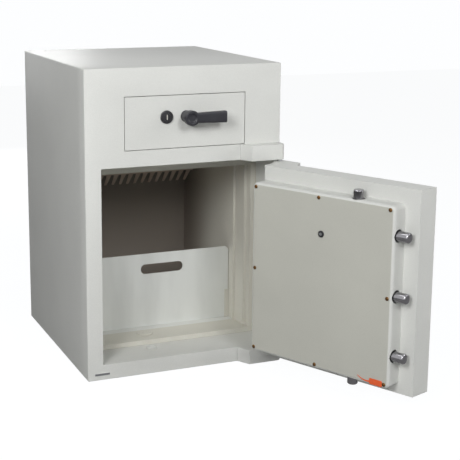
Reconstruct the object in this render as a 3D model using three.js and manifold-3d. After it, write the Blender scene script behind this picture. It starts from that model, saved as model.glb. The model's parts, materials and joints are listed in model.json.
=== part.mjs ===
// A drop safe: a heavy box with a deposit drawer over a hinged door.
// Millimetres, +Z up, the origin at the middle of the base, the front face at -Y.
// The door stands open and its boltwork is drawn back, as the safe is photographed.
import * as THREE from 'three';
import { mergeVertices } from 'three/addons/utils/BufferGeometryUtils.js';
import Module from 'manifold-3d';

const wasm = await Module();
wasm.setup();

// Gaps, cuts and facets
const seat = 0.3;
const running = 0.5;
const overrun = 3;
const roundFacets = 32;
const smallFacets = 16;
const cornerFacets = 3;

// Cabinet
const bodyWidth = 500;
const bodyDepth = 550;
const bodyHeight = 750;
const bodyEdge = 3;
const borderLeft = 39;
const borderRight = 17;
const sillHeight = 37.5;
const frontDepth = 60;
const doorwayDepth = 101;
const recessDepth = 13;
const chamberFloor = 50;
const chamberDrop = 11.5;
const chamberLeftWall = 43;
const chamberRightWall = 43;
const backWall = 24;
const boltPocketRadius = 14;
const strikeThickness = 24;

// Stepped frame inside the doorway
const frameDepth = 77;
const lipDepth = 12;
const lipDrop = 33.5;
const firstStep = 13;
const secondStep = 20;
const firstStepDepth = 23;

// Drawer opening, its compartment and the drop shaft
const apertureLeft = 96.5;
const apertureRightMargin = 94.5;
const apertureTopMargin = 67;
const apertureHeight = 128;
const apertureAbove = 38.5;
const frontPlate = 14;
const compartmentMargin = 8.5;
const compartmentHeadroom = 14;
const compartmentDepth = 346;
const housingWall = 3;

// Hinges
const hingeInset = 9;
const hingeStandoff = 20;
const hingeBlockLength = 107;
const hingeBlockTop = 38;
const hingeProud = 33;
const hingeSlope = 17.5;
const hingeNose = 12;
const pinRadius = 6;
const pinClearance = 0.3;
const pinInBlock = 26;
const pinInKnuckle = 30;
const knuckleHeight = 39;
const knuckleLength = 80;
const knuckleSweep = 19.2;
const restAngle = 115.5;

// Door
const doorGapLeft = 2;
const doorGapRight = 2;
const doorGapBottom = 1.5;
const doorGapTop = 5;
const slabThickness = 54;
const slabTaper = 5.5;
const slabRearCorner = 5;

// Rear cover of the door
const coverInLeft = 43;
const coverInRight = 1;
const coverInBottom = 20;
const coverInTop = 34.5;
const coverDepth = 42;
const coverSheet = 2;
const coverCorner = 7;
const coverRound = 12;
const coverHoleRadius = 15;

// Cover screws
const screwInFree = 12;
const screwInHinge = 10;
const screwInTop = 10;
const screwInBottom = 9;
const screwMiddleShare = 0.51;
const screwHeadRadius = 4.6;
const screwHeadHeight = 2.4;
const screwShankRadius = 2;
const screwLength = 5;
const screwSlot = 1.2;
const screwSlotDepth = 1.2;
const postRadius = 4.5;
const postChamfer = 2;

// Boltwork
const boltRadius = 12;
const boltChamfer = 2;
const boltDepth = 78;
const boltThrow = 25;
const sideBoltTip = 55;
const sideBoltInTop = 103.5;
const sideBoltInBottom = 94;
const topBoltX = 191;
const topBoltInset = 14.5;
const bottomBoltTip = 41.5;
const spigotRadius = 6;
const spigotProud = 1.5;
const boltClearance = 0.4;
const carriageLeft = 138;
const carriageWidth = 8;
const carriageOverhang = 12;
const guideWidth = 20;
const sideGuideInset = 6;
const guideChamfer = 6;
const guideThickness = 10;
const guideHalfWidth = 18;
const topGuideInset = 25;
const bottomGuideInset = 17;
const armHeight = 12;
const topArmInset = 83;
const bottomArmInset = 71.5;

// Rack and pinion behind the cover
const pinionTeeth = 16;
const pressureAngle = 20;
const backlash = 0.5;
const addendumShare = 1;
const dedendumShare = 1.25;
const rackThickness = 5;
const rackHeight = 9;
const rackGap = 1.5;
const rackFirst = 62;
const rackReach = 5;

// Lever handles, spindles and key locks
const doorSpindleX = 277;
const doorSpindleInTop = 128;
const drawerSpindleRise = 76;
const spindleRadius = 7;
const spindleClearance = 0.3;
const leverReach = 89;
const leverThickness = 16;
const leverRootHeight = 24;
const leverTipHeight = 28;
const leverTipChamfer = 4;
const leverStandoff = 44;
const leverBevel = 1.5;
const hubRadius = 18;
const neckRadius = 13;
const hubRecessRadius = 11;
const hubRecessDepth = 3;
const roseRadius = 21;
const roseHeight = 4;
const lockOffset = 49;
const lockRadius = 15.5;
const lockProud = 4;
const plugRadius = 9;
const plugClearance = 0.3;
const keySlotWidth = 2.4;
const keySlotHeight = 12;
const keySlotDepth = 14;
const lockCaseWidth = 46;
const lockCaseAbove = 10;
const lockCaseBelow = 44;
const lockCaseThickness = 5.7;
const grommetRadius = 8;
const grommetHeight = 2.5;
const grommetNeck = 6.2;
const spindleTailRadius = 3.3;
const spindleEndProud = 3.5;

// Warning tag on the cover
const tagAside = 4;
const tagWidth = 39;
const tagHeight = 18;
const tagThickness = 1;
const tagCorner = 4;
const tagDrop = 7;
const tagTailLength = 27;
const tagTailRoot = 5;
const tagTailTip = 1.5;
const tagTailSag = 3;
const tagTailRise = 4;

// Deposit drawer
const drawerGap = 1.5;
const panelThickness = 12;
const panelEdge = 1;
const boxMargin = 13;
const boxBottomGap = 7;
const boxHeight = 103;
const boxSheet = 2;
const latchSpace = 14;
const boxRearGap = 29.7;
const trapHingeY = 170;
const trapThickness = 2;
const trapBarrel = 4;
const trapPinRadius = 2;
const trapGap = 0.5;
const shaftFront = 165;
const shaftPastBox = 4.7;
const tongueReach = 57;
const tongueWidth = 18;
const tongueThickness = 5;
const tongueGap = 3;
const lockBarrelRear = 6;

// Drawer runners
const runnerSheet = 2;
const runnerHeight = 30;
const runnerReach = 12;
const runnerRise = 45;
const runnerFront = 20;
const runnerRearGap = 10;
const railFront = 30;
const railRearGap = 22;
const railClear = 1;

// Chute and comb
const chuteSheet = 2.5;
const chuteFlange = 25;
const chuteRearGap = 72;
const chuteFall = 85;
const chuteToe = 14;
const combSheet = 2;
const combStrip = 10;
const combTooth = 48;
const combInset = 3;
const combAngle = 45;
const combPitch = 21.5;
const toothRootShare = 0.6;
const toothTipShare = 0.3;

// Retaining plate, its guides, the anchor plug and the maker's plate
const plateY = 205;
const plateThickness = 3;
const plateHeight = 196;
const plateCorner = 12;
const plateEdgeGap = 1.8;
const slotAside = 16;
const slotWidth = 116;
const slotBottom = 192;
const slotHeight = 26;
const slotRoundShare = 0.45;
const guideWebSheet = 1.2;
const guideFlangeSheet = 2;
const guideReach = 12;
const guideHeight = 77;
const plugX = 198;
const plugY = 150;
const anchorDiscRadius = 20;
const anchorDiscHeight = 3;
const anchorStemRadius = 15;
const anchorStemLength = 30;
const anchorHoleRadius = 2;
const anchorHolePitch = 12;
const namePlateX = 17.5;
const namePlateZ = 12;
const namePlateWidth = 37;
const namePlateHeight = 6;
const namePlateThickness = 1;
const namePlateCorner = 1.5;

// Places worked out from the sizes above; X is counted from the left side, Y from the front
const doorwayRight = bodyWidth - borderRight;
const apertureRight = bodyWidth - apertureRightMargin;
const apertureTop = bodyHeight - apertureTopMargin;
const apertureBottom = apertureTop - apertureHeight;
const doorwayTop = apertureBottom - apertureAbove;
const chamberRight = bodyWidth - chamberRightWall;
const chamberBack = bodyDepth - backWall;
const chamberTop = doorwayTop - chamberDrop;
const frameRear = doorwayDepth + frameDepth;
const compartmentLeft = apertureLeft - compartmentMargin;
const compartmentRight = apertureRight + compartmentMargin;
const compartmentTop = apertureTop + compartmentHeadroom;
const compartmentRear = frontPlate + compartmentDepth;
const hingeX = bodyWidth - hingeInset;
const hingeY = -hingeStandoff;
const slabLeft = borderLeft + doorGapLeft;
const slabRight = doorwayRight - doorGapRight;
const slabBottom = sillHeight + doorGapBottom;
const slabTop = doorwayTop - doorGapTop;
const coverLeft = slabLeft + coverInLeft;
const coverRight = slabRight - coverInRight;
const coverBottom = slabBottom + coverInBottom;
const coverTop = slabTop - coverInTop;
const coverRear = slabThickness + coverDepth;
const coverInner = coverRear - coverSheet;
const postTop = coverInner - seat;
const screwColumnFree = coverLeft + screwInFree;
const screwColumnHinge = coverRight - screwInHinge;
const screwColumnMiddle = screwColumnFree + (screwColumnHinge - screwColumnFree) * screwMiddleShare;
const screwRowTop = coverTop - screwInTop;
const screwRowBottom = coverBottom + screwInBottom;
const screwRowMiddle = (screwRowTop + screwRowBottom) / 2;
const guideLeft = coverLeft + sideGuideInset;
const sideBoltTop = slabTop - sideBoltInTop;
const sideBoltBottom = slabBottom + sideBoltInBottom;
const topBoltTip = slabTop - topBoltInset;
const topGuideBottom = coverTop - topGuideInset;
const bottomGuideBottom = coverBottom + bottomGuideInset;
const topArmBottom = topBoltTip - topArmInset;
const bottomArmBottom = bottomBoltTip + bottomArmInset;
const doorSpindleZ = slabTop - doorSpindleInTop;
const pitchRadius = boltThrow / (Math.PI / 2);
const toothPitch = 2 * Math.PI * pitchRadius / pinionTeeth;
const toothModule = 2 * pitchRadius / pinionTeeth;
const topRackLayer = rackFirst + rackThickness + rackGap;
const bottomRackLayer = topRackLayer + rackThickness + rackGap;
const pinionRear = bottomRackLayer + rackThickness;
const drawerSpindleX = (apertureLeft + apertureRight) / 2;
const drawerSpindleZ = apertureBottom + drawerSpindleRise;
const panelLeft = apertureLeft + drawerGap;
const panelRight = apertureRight - drawerGap;
const panelBottom = apertureBottom + drawerGap;
const panelTop = apertureTop - drawerGap;
const boxLeft = panelLeft + boxMargin;
const boxRight = panelRight - boxMargin;
const boxBottom = apertureBottom + boxBottomGap;
const boxTop = boxBottom + boxHeight;
const boxFront = panelThickness + seat;
const boxWallFront = panelThickness + latchSpace;
const boxRear = compartmentRear - boxRearGap;
const trapZ = boxBottom + trapThickness / 2;
const shaftRear = boxRear + shaftPastBox;
const runnerBottom = apertureBottom + runnerRise;
const runnerRear = compartmentRear - runnerRearGap;
const railRear = runnerRear - railRearGap;
const chuteEndY = chamberBack - chuteRearGap;
const chuteEndZ = chamberTop - chuteFall;
const slotLeft = (chamberLeftWall + chamberRight - slotWidth) / 2 + slotAside;
const plateFront = plateY - plateThickness / 2;
const plateRear = plateY + plateThickness / 2;

const sideBoltRows = [sideBoltTop, (sideBoltTop + sideBoltBottom) / 2, sideBoltBottom];
const screwPlaces = [screwColumnFree, screwColumnMiddle, screwColumnHinge].flatMap((x) => (
  [screwRowTop, screwRowMiddle, screwRowBottom].map((z) => [x, z])
)).filter(([x, z]) => x !== screwColumnMiddle || z !== screwRowMiddle);

// Colours and finishes
const paintedFront = { color: 0xd5d6d0, roughness: 0.55, metalness: 0 };
const paintedSteel = { color: 0xb9bab3, roughness: 0.6, metalness: 0.1 };
const coverPaint = { color: 0xb0b1a8, roughness: 0.55, metalness: 0.1 };
const bareSteel = { color: 0xa8acaf, roughness: 0.4, metalness: 0.9 };
const chrome = { color: 0xd8dadc, roughness: 0.12, metalness: 1 };
const blackPlastic = { color: 0x26262c, roughness: 0.45, metalness: 0 };
const yellowZinc = { color: 0xa98b4a, roughness: 0.35, metalness: 0.9 };
const galvanised = { color: 0xbec2c4, roughness: 0.45, metalness: 0.8 };
const tagOrange = { color: 0xe46428, roughness: 0.6, metalness: 0 };
const satinPlate = { color: 0x8d8f90, roughness: 0.35, metalness: 0.8 };

// A closed geometry as a solid that can be joined and cut.
function solidOf(geometry) {
  const bare = geometry.clone();
  bare.deleteAttribute('normal');
  bare.deleteAttribute('uv');
  const merged = mergeVertices(bare);
  return new wasm.Manifold(new wasm.Mesh({
    numProp: 3,
    vertProperties: new Float32Array(merged.attributes.position.array),
    triVerts: new Uint32Array(merged.index.array),
  }));
}

// A solid as a geometry for a mesh.
function geometryOf(solid) {
  const { vertProperties, triVerts } = solid.getMesh();
  const geometry = new THREE.BufferGeometry();
  geometry.setAttribute('position', new THREE.BufferAttribute(vertProperties, 3));
  geometry.setIndex(new THREE.BufferAttribute(triVerts, 1));
  geometry.computeVertexNormals();
  return geometry;
}

// A block between two corners.
function block(x0, x1, y0, y1, z0, z1) {
  const geometry = new THREE.BoxGeometry(x1 - x0, y1 - y0, z1 - z0);
  geometry.translate((x0 + x1) / 2, (y0 + y1) / 2, (z0 + z1) / 2);
  return solidOf(geometry);
}

const directionX = new THREE.Vector3(1, 0, 0);
const directionY = new THREE.Vector3(0, 1, 0);
const directionZ = new THREE.Vector3(0, 0, 1);

// An outline drawn in Y and Z, carried along X.
function prismX(shape, x0, x1) {
  const geometry = flatExtrusion(shape, x1 - x0);
  geometry.applyMatrix4(new THREE.Matrix4().makeBasis(directionY, directionZ, directionX));
  geometry.translate(x0, 0, 0);
  return solidOf(geometry);
}

// An outline drawn in X and Z, carried along Y.
function prismY(shape, y0, y1, bevel = 0) {
  const geometry = bevel > 0 ? softExtrusion(shape, y1 - y0, bevel) : flatExtrusion(shape, y1 - y0);
  const backwards = directionY.clone().negate();
  geometry.applyMatrix4(new THREE.Matrix4().makeBasis(directionX, directionZ, backwards));
  geometry.translate(0, y1, 0);
  return solidOf(geometry);
}

// An outline drawn in X and Y, carried along Z.
function prismZ(shape, z0, z1) {
  const geometry = flatExtrusion(shape, z1 - z0);
  geometry.translate(0, 0, z0);
  return solidOf(geometry);
}

function flatExtrusion(shape, depth) {
  return new THREE.ExtrudeGeometry(shape, { depth, bevelEnabled: false, curveSegments: cornerFacets });
}

// An extrusion of the given depth whose end edges are rounded inside the outline.
function softExtrusion(shape, depth, bevel) {
  const geometry = new THREE.ExtrudeGeometry(shape, {
    depth: depth - 2 * bevel,
    bevelEnabled: true,
    bevelThickness: bevel,
    bevelSize: bevel,
    bevelOffset: -bevel,
    bevelSegments: 2,
    curveSegments: cornerFacets,
  });
  geometry.translate(0, 0, bevel);
  return geometry;
}

// A turned piece: pairs of [radius, height] revolved, its axis laid along the given direction.
function turned(profile, direction, x, y, z, facets = roundFacets) {
  const points = profile.map(([radius, height]) => new THREE.Vector2(radius, height));
  const geometry = new THREE.LatheGeometry(points, facets);
  const turn = new THREE.Quaternion().setFromUnitVectors(directionY, direction);
  geometry.applyQuaternion(turn);
  geometry.translate(x, y, z);
  return solidOf(geometry);
}

function rod(radius, start, end, direction, x, y, z, facets = roundFacets) {
  return turned([[0, start], [radius, start], [radius, end], [0, end]], direction, x, y, z, facets);
}

function rodX(radius, x0, x1, y, z, facets) {
  return rod(radius, x0, x1, directionX, 0, y, z, facets);
}

function rodY(radius, y0, y1, x, z, facets) {
  return rod(radius, y0, y1, directionY, x, 0, z, facets);
}

function rodZ(radius, z0, z1, x, y, facets) {
  return rod(radius, z0, z1, directionZ, x, y, 0, facets);
}

// A rectangle with round corners, as an outline.
function roundedRectangle(left, right, bottom, top, radius) {
  const shape = new THREE.Shape();
  shape.absarc(right - radius, bottom + radius, radius, -Math.PI / 2, 0);
  shape.absarc(right - radius, top - radius, radius, 0, Math.PI / 2);
  shape.absarc(left + radius, top - radius, radius, Math.PI / 2, Math.PI);
  shape.absarc(left + radius, bottom + radius, radius, Math.PI, 3 * Math.PI / 2);
  shape.closePath();
  return shape;
}

function polygon(points) {
  return new THREE.Shape(points.map(([x, y]) => new THREE.Vector2(x, y)));
}

// A skin through rings that have as many points each, closed by a fan at either end.
function loft(rings) {
  const count = rings[0].length;
  const positions = rings.flat().flatMap((point) => point.toArray());
  const indices = [];
  for (let ring = 0; ring + 1 < rings.length; ring += 1) {
    for (let i = 0; i < count; i += 1) {
      const a = ring * count + i;
      const b = ring * count + (i + 1) % count;
      indices.push(a, b, a + count, b, b + count, a + count);
    }
  }
  const lastRing = (rings.length - 1) * count;
  for (let i = 1; i + 1 < count; i += 1) {
    indices.push(0, i + 1, i);
    indices.push(lastRing, lastRing + i, lastRing + i + 1);
  }
  const geometry = new THREE.BufferGeometry();
  geometry.setAttribute('position', new THREE.Float32BufferAttribute(positions, 3));
  geometry.setIndex(indices);
  return solidOf(geometry);
}

const safe = new THREE.Group();
safe.position.set(-bodyWidth / 2, -bodyDepth / 2, 0);

// A named mesh of a solid, hung in its group.
function add(group, name, solid, finish, x = 0, y = 0, z = 0) {
  const mesh = new THREE.Mesh(geometryOf(solid), new THREE.MeshStandardMaterial(finish));
  mesh.name = name;
  mesh.position.set(x, y, z);
  group.add(mesh);
  return mesh;
}

// Outer form of the cabinet, from its front to its back, and the openings in its front.
function cabinetBlock() {
  const outline = roundedRectangle(0, bodyWidth, 0, bodyHeight, bodyEdge);
  return prismY(outline, 0, bodyDepth, bodyEdge / 2)
    .subtract(block(borderLeft, doorwayRight, -overrun, frameRear, sillHeight, doorwayTop))
    .subtract(block(apertureLeft, apertureRight, -overrun, frontPlate + overrun, apertureBottom, apertureTop))
    .subtract(block(
      compartmentLeft, compartmentRight,
      frontPlate, compartmentRear,
      apertureBottom, compartmentTop,
    ));
}

// Front frame: the border round the doorway and the drawer, in front of the bolt recesses.
function frontFrame() {
  return cabinetBlock().intersect(block(
    -overrun, bodyWidth + overrun,
    -overrun, frontDepth,
    -overrun, bodyHeight + overrun,
  ));
}

// Cabinet behind the front frame: thick walls round the chamber, with recesses for the bolts.
function cabinetBody() {
  const front = frontDepth + seat;
  const strikeBottom = sillHeight - strikeThickness;
  const recessTop = doorwayTop + recessDepth;
  let body = cabinetBlock().intersect(block(
    -overrun, bodyWidth + overrun,
    front, bodyDepth + overrun,
    -overrun, bodyHeight + overrun,
  ));
  const cuts = [
    block(borderLeft - recessDepth, borderLeft + overrun, frontDepth, doorwayDepth, sillHeight, doorwayTop),
    block(borderLeft, doorwayRight, frontDepth, doorwayDepth, doorwayTop - overrun, recessTop),
    block(borderLeft, doorwayRight, frontDepth, doorwayDepth, strikeBottom, sillHeight + overrun),
    block(chamberLeftWall, chamberRight, frameRear - overrun, chamberBack, chamberFloor, chamberTop),
    block(boxLeft, boxRight, shaftFront, shaftRear, chamberTop - overrun, apertureBottom + overrun),
    rodZ(anchorStemRadius, -overrun, chamberFloor + overrun, plugX, plugY),
  ];
  for (const cut of cuts) {
    body = body.subtract(cut);
  }
  return body;
}

// Strike in the sill, with the hole that the bottom bolt enters.
function sillStrike() {
  const bottom = sillHeight - strikeThickness + seat;
  return block(
    borderLeft + seat, doorwayRight - seat,
    frontDepth + 2 * seat, doorwayDepth - seat,
    bottom, sillHeight,
  ).subtract(rodZ(boltPocketRadius, bottom - overrun, sillHeight + overrun, topBoltX, boltDepth));
}

// Doorway frame: a ring behind the closed door, stepped inwards to the chamber.
function doorFrame() {
  const inLeft = chamberLeftWall;
  let ring = block(
    borderLeft + seat, doorwayRight - seat,
    doorwayDepth, frameRear - seat,
    sillHeight + seat, doorwayTop - seat,
  );
  const lipRear = doorwayDepth + lipDepth;
  const stepRear = doorwayDepth + firstStepDepth;
  const firstRight = doorwayRight - firstStep;
  const secondRight = doorwayRight - secondStep;
  const lipTop = doorwayTop - lipDrop;
  ring = ring.subtract(block(inLeft, firstRight, doorwayDepth - overrun, lipRear, chamberFloor, lipTop));
  ring = ring.subtract(block(inLeft, firstRight, lipRear - seat, stepRear, chamberFloor, chamberTop));
  ring = ring.subtract(block(
    inLeft, secondRight,
    stepRear - seat, frameRear + overrun,
    chamberFloor, chamberTop,
  ));
  return ring.subtract(rodZ(anchorStemRadius, sillHeight - overrun, chamberFloor + overrun, plugX, plugY));
}

// Plan of a hinge leaf: sloped on the left, its nose rounded towards the right side.
function hingeOutline(length) {
  const left = bodyWidth - length;
  const shape = new THREE.Shape();
  shape.moveTo(left, -seat);
  shape.lineTo(left + hingeSlope, -hingeProud);
  shape.absarc(bodyWidth - hingeNose, hingeNose - hingeProud, hingeNose, -Math.PI / 2, 0);
  shape.lineTo(bodyWidth, -seat);
  shape.closePath();
  return shape;
}

// Fixed leaf of a hinge, bored for its pin.
function hingeBlock(bottom, top, boreBottom, boreTop) {
  const bore = rodZ(pinRadius + seat, boreBottom, boreTop, hingeX, hingeY, smallFacets);
  return prismZ(hingeOutline(hingeBlockLength), bottom, top).subtract(bore);
}

// Knuckle: the same section, cut back round the pin so that it swings clear of the cabinet.
function hingeKnuckle(bottom, boreBottom, boreTop) {
  const top = bottom + knuckleHeight;
  const leaf = prismZ(hingeOutline(knuckleLength), bottom, top);
  const sweep = rodZ(knuckleSweep, bottom, top, hingeX, hingeY);
  const inFront = block(-overrun, bodyWidth + overrun, -hingeProud - overrun, hingeY, bottom, top);
  const onSlab = block(-overrun, hingeX - knuckleSweep / 2, hingeY, 0, bottom, top);
  const bore = rodZ(pinRadius + pinClearance, boreBottom, boreTop, hingeX, hingeY, smallFacets);
  return leaf.intersect(sweep.add(inFront).add(onSlab)).subtract(bore);
}

// Pin that stands in a fixed leaf and in a knuckle.
function hingePin(bottom, top) {
  return rodZ(pinRadius, bottom, top, hingeX, hingeY, smallFacets);
}

function addHinges(door) {
  const blockTop = doorwayTop + hingeBlockTop;
  const upperPinLow = slabTop - pinInKnuckle;
  const upperPinHigh = doorwayTop + pinInBlock;
  const lowerPinLow = sillHeight - pinInBlock;
  const lowerPinHigh = slabBottom + pinInKnuckle;
  const upperBlock = hingeBlock(doorwayTop, blockTop, doorwayTop - overrun, upperPinHigh + seat);
  const lowerBlock = hingeBlock(0, sillHeight, lowerPinLow - seat, sillHeight + overrun);
  add(safe, 'upper_hinge_block', upperBlock, paintedFront);
  add(safe, 'lower_hinge_block', lowerBlock, paintedFront);
  add(safe, 'upper_hinge_pin', hingePin(upperPinLow, upperPinHigh), bareSteel);
  add(safe, 'lower_hinge_pin', hingePin(lowerPinLow, lowerPinHigh), bareSteel);
  const upperKnuckle = hingeKnuckle(slabTop - knuckleHeight, upperPinLow - seat, slabTop + overrun);
  const lowerKnuckle = hingeKnuckle(slabBottom, slabBottom - overrun, lowerPinHigh + seat);
  add(door, 'upper_knuckle', upperKnuckle, paintedFront);
  add(door, 'lower_knuckle', lowerKnuckle, paintedFront);
}

// Threaded post on the slab that takes a screw of the cover.
function coverPost(x, z) {
  const profile = [
    [0, slabThickness - overrun],
    [postRadius, slabThickness - overrun],
    [postRadius, postTop - postChamfer],
    [postRadius - postChamfer, postTop],
    [0, postTop],
  ];
  return turned(profile, directionY, x, 0, z, smallFacets);
}

// Door slab with its threaded posts for the cover, bored for the handle spindle and the lock.
function doorSlab() {
  const shape = new THREE.Shape();
  shape.moveTo(slabLeft, 0);
  shape.lineTo(slabRight, 0);
  shape.absarc(slabRight - slabRearCorner, slabThickness - slabRearCorner, slabRearCorner, 0, Math.PI / 2);
  shape.lineTo(slabLeft + slabTaper, slabThickness);
  shape.closePath();
  let slab = prismZ(shape, slabBottom, slabTop);
  for (const [x, z] of screwPlaces) {
    if (x !== screwColumnFree || z !== screwRowMiddle) {
      slab = slab.add(coverPost(x, z));
    }
    const holeBottom = coverRear - screwLength - seat;
    slab = slab.subtract(rodY(screwShankRadius + seat, holeBottom, coverRear, x, z, smallFacets));
  }
  const spindleBore = spindleRadius + spindleClearance;
  slab = slab.subtract(rodY(spindleBore, -overrun, slabThickness + overrun, doorSpindleX, doorSpindleZ));
  const lockX = doorSpindleX - lockOffset;
  return slab.subtract(rodY(lockRadius + seat, -overrun, slabThickness + overrun, lockX, doorSpindleZ));
}

// One ring of the pillow-edged cover, drawn in from its outline by inset at the depth y.
function coverRing(inset, y) {
  const radius = Math.max(coverRound - inset, coverSheet / 2);
  const shape = roundedRectangle(
    coverLeft + inset, coverRight - inset,
    coverBottom + inset, coverTop - inset,
    radius,
  );
  const points = shape.getPoints(cornerFacets).slice(0, -1).reverse();
  return points.map((point) => new THREE.Vector3(point.x, y, point.y));
}

// Pillow form of the cover: straight sides that round over to a flat face.
function coverForm(inset, front, rear) {
  const radius = coverCorner - inset;
  const rings = [coverRing(inset, front)];
  for (let step = 0; step <= cornerFacets; step += 1) {
    const angle = step / cornerFacets * Math.PI / 2;
    const drawn = inset + radius * (1 - Math.cos(angle));
    rings.push(coverRing(drawn, rear - radius + radius * Math.sin(angle)));
  }
  return loft(rings);
}

// Rear cover: a sheet pan with holes for the bolts, the spindle and its screws.
function rearCover() {
  let pan = coverForm(0, slabThickness + seat, coverRear);
  pan = pan.subtract(coverForm(coverSheet, slabThickness - overrun, coverInner));
  for (const z of sideBoltRows) {
    pan = pan.subtract(rodX(coverHoleRadius, coverLeft - overrun, coverLeft + coverCorner, boltDepth, z));
  }
  const topHole = [coverTop - coverCorner, coverTop + overrun];
  const bottomHole = [coverBottom - overrun, coverBottom + coverCorner];
  for (const [low, high] of [topHole, bottomHole]) {
    pan = pan.subtract(rodZ(coverHoleRadius, low, high, topBoltX, boltDepth));
  }
  const screwHole = screwShankRadius + seat;
  for (const [x, z] of screwPlaces) {
    pan = pan.subtract(rodY(screwHole, coverInner - overrun, coverRear + overrun, x, z, smallFacets));
  }
  const neckHole = grommetNeck + seat;
  return pan.subtract(rodY(neckHole, coverInner - overrun, coverRear + overrun, doorSpindleX, doorSpindleZ));
}

// Domed screw with a cross slot, its seat at the origin and its head towards +Y.
function coverScrew() {
  const profile = [[0, -screwLength], [screwShankRadius, -screwLength], [screwShankRadius, seat]];
  profile.push([screwHeadRadius, seat]);
  for (let step = 1; step < cornerFacets; step += 1) {
    const angle = step / cornerFacets * Math.PI / 2;
    profile.push([screwHeadRadius * Math.cos(angle), seat + screwHeadHeight * Math.sin(angle)]);
  }
  profile.push([0, seat + screwHeadHeight]);
  const slotBottomY = seat + screwHeadHeight - screwSlotDepth;
  const slotTopY = screwHeadHeight + overrun;
  const half = screwSlot / 2;
  const arm = screwHeadRadius / 2;
  return turned(profile, directionY, 0, 0, 0, smallFacets)
    .subtract(block(-arm, arm, slotBottomY, slotTopY, -half, half))
    .subtract(block(-half, half, slotBottomY, slotTopY, -arm, arm));
}

// Ring that lines the cover's spindle hole.
function spindleGrommet() {
  const bore = spindleTailRadius + seat;
  const profile = [
    [bore, coverInner - seat],
    [grommetNeck, coverInner - seat],
    [grommetNeck, coverRear + seat],
    [grommetRadius, coverRear + seat],
    [grommetRadius, coverRear + grommetHeight / 2],
    [grommetRadius - grommetHeight / 2, coverRear + grommetHeight],
    [bore, coverRear + grommetHeight],
    [bore, coverInner - seat],
  ];
  return turned(profile, directionY, doorSpindleX, 0, doorSpindleZ);
}

// Bolt with a chamfered tip and a riveting spigot; it points along the direction from base to tip.
function lockBolt(direction, length, spigotLength) {
  const profile = [
    [0, -spigotLength],
    [spigotRadius, -spigotLength],
    [spigotRadius, 0],
    [boltRadius, 0],
    [boltRadius, length - boltChamfer],
    [boltRadius - boltChamfer, length],
    [0, length],
  ];
  return turned(profile, direction, 0, 0, 0);
}

// Guide bar for the three side bolts, standing on the slab under the cover.
function sideGuide() {
  const bottom = sideBoltRows[2] - guideHalfWidth;
  const top = sideBoltRows[0] + guideHalfWidth;
  let bar = prismZ(polygon([
    [guideLeft, slabThickness + seat],
    [guideLeft + guideWidth, slabThickness + seat],
    [guideLeft + guideWidth, postTop],
    [guideLeft + guideChamfer, postTop],
    [guideLeft, postTop - guideChamfer],
  ]), bottom, top);
  for (const z of sideBoltRows) {
    const radius = boltRadius + boltClearance;
    bar = bar.subtract(rodX(radius, guideLeft - overrun, guideLeft + guideWidth + overrun, boltDepth, z));
  }
  const holeBottom = coverRear - screwLength - seat;
  const holeRadius = screwShankRadius + seat;
  return bar.subtract(rodY(holeRadius, holeBottom, coverRear, screwColumnFree, screwRowMiddle, smallFacets));
}

// Guide block for the top or the bottom bolt.
function endGuide(bottom) {
  const top = bottom + guideThickness;
  const left = topBoltX - guideHalfWidth;
  const right = topBoltX + guideHalfWidth;
  const radius = boltRadius + boltClearance;
  return block(left, right, slabThickness + seat, postTop, bottom, top)
    .subtract(rodZ(radius, bottom - overrun, top + overrun, topBoltX, boltDepth));
}

// Half the width of an involute tooth at a radius from the pinion's axis.
function toothHalfAngle(radius) {
  const angle = pressureAngle * Math.PI / 180;
  const involute = (value) => Math.tan(value) - value;
  const baseRadius = pitchRadius * Math.cos(angle);
  const atPitch = (toothPitch - backlash) / (4 * pitchRadius);
  const here = Math.acos(Math.min(1, baseRadius / radius));
  return atPitch + involute(angle) - involute(here);
}

// Pinion outline in X and Z about the spindle; a gap lies on each axis where a rack tooth stands.
function pinionOutline() {
  const tip = pitchRadius + addendumShare * toothModule;
  const root = pitchRadius - dedendumShare * toothModule;
  const base = pitchRadius * Math.cos(pressureAngle * Math.PI / 180);
  const points = [];
  const flank = [root, base, (base + pitchRadius) / 2, pitchRadius, (pitchRadius + tip) / 2, tip];
  for (let tooth = 0; tooth < pinionTeeth; tooth += 1) {
    const centre = (tooth + 1 / 2) / pinionTeeth * 2 * Math.PI;
    for (const radius of flank) {
      const angle = centre - toothHalfAngle(Math.max(radius, base));
      points.push([radius * Math.cos(angle), radius * Math.sin(angle)]);
    }
    for (const radius of flank.toReversed()) {
      const angle = centre + toothHalfAngle(Math.max(radius, base));
      points.push([radius * Math.cos(angle), radius * Math.sin(angle)]);
    }
  }
  return points;
}

// Rack outline along its own length u and height v, with the pitch line at v = 0, teeth down.
function rackOutline(start, end) {
  const addendum = addendumShare * toothModule;
  const dedendum = dedendumShare * toothModule;
  const slope = Math.tan(pressureAngle * Math.PI / 180);
  const half = (toothPitch - backlash) / 4;
  const points = [[start, rackHeight], [start, dedendum]];
  for (let tooth = Math.ceil((start + half) / toothPitch); (tooth + 1 / 2) * toothPitch < end; tooth += 1) {
    const centre = tooth * toothPitch;
    points.push([centre - half - dedendum * slope, dedendum]);
    points.push([centre - half + addendum * slope, -addendum]);
    points.push([centre + half - addendum * slope, -addendum]);
    points.push([centre + half + dedendum * slope, dedendum]);
  }
  points.push([end, dedendum], [end, rackHeight]);
  return points;
}

function layerPrism(points, layer) {
  return prismY(polygon(points), layer, layer + rackThickness);
}

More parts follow.
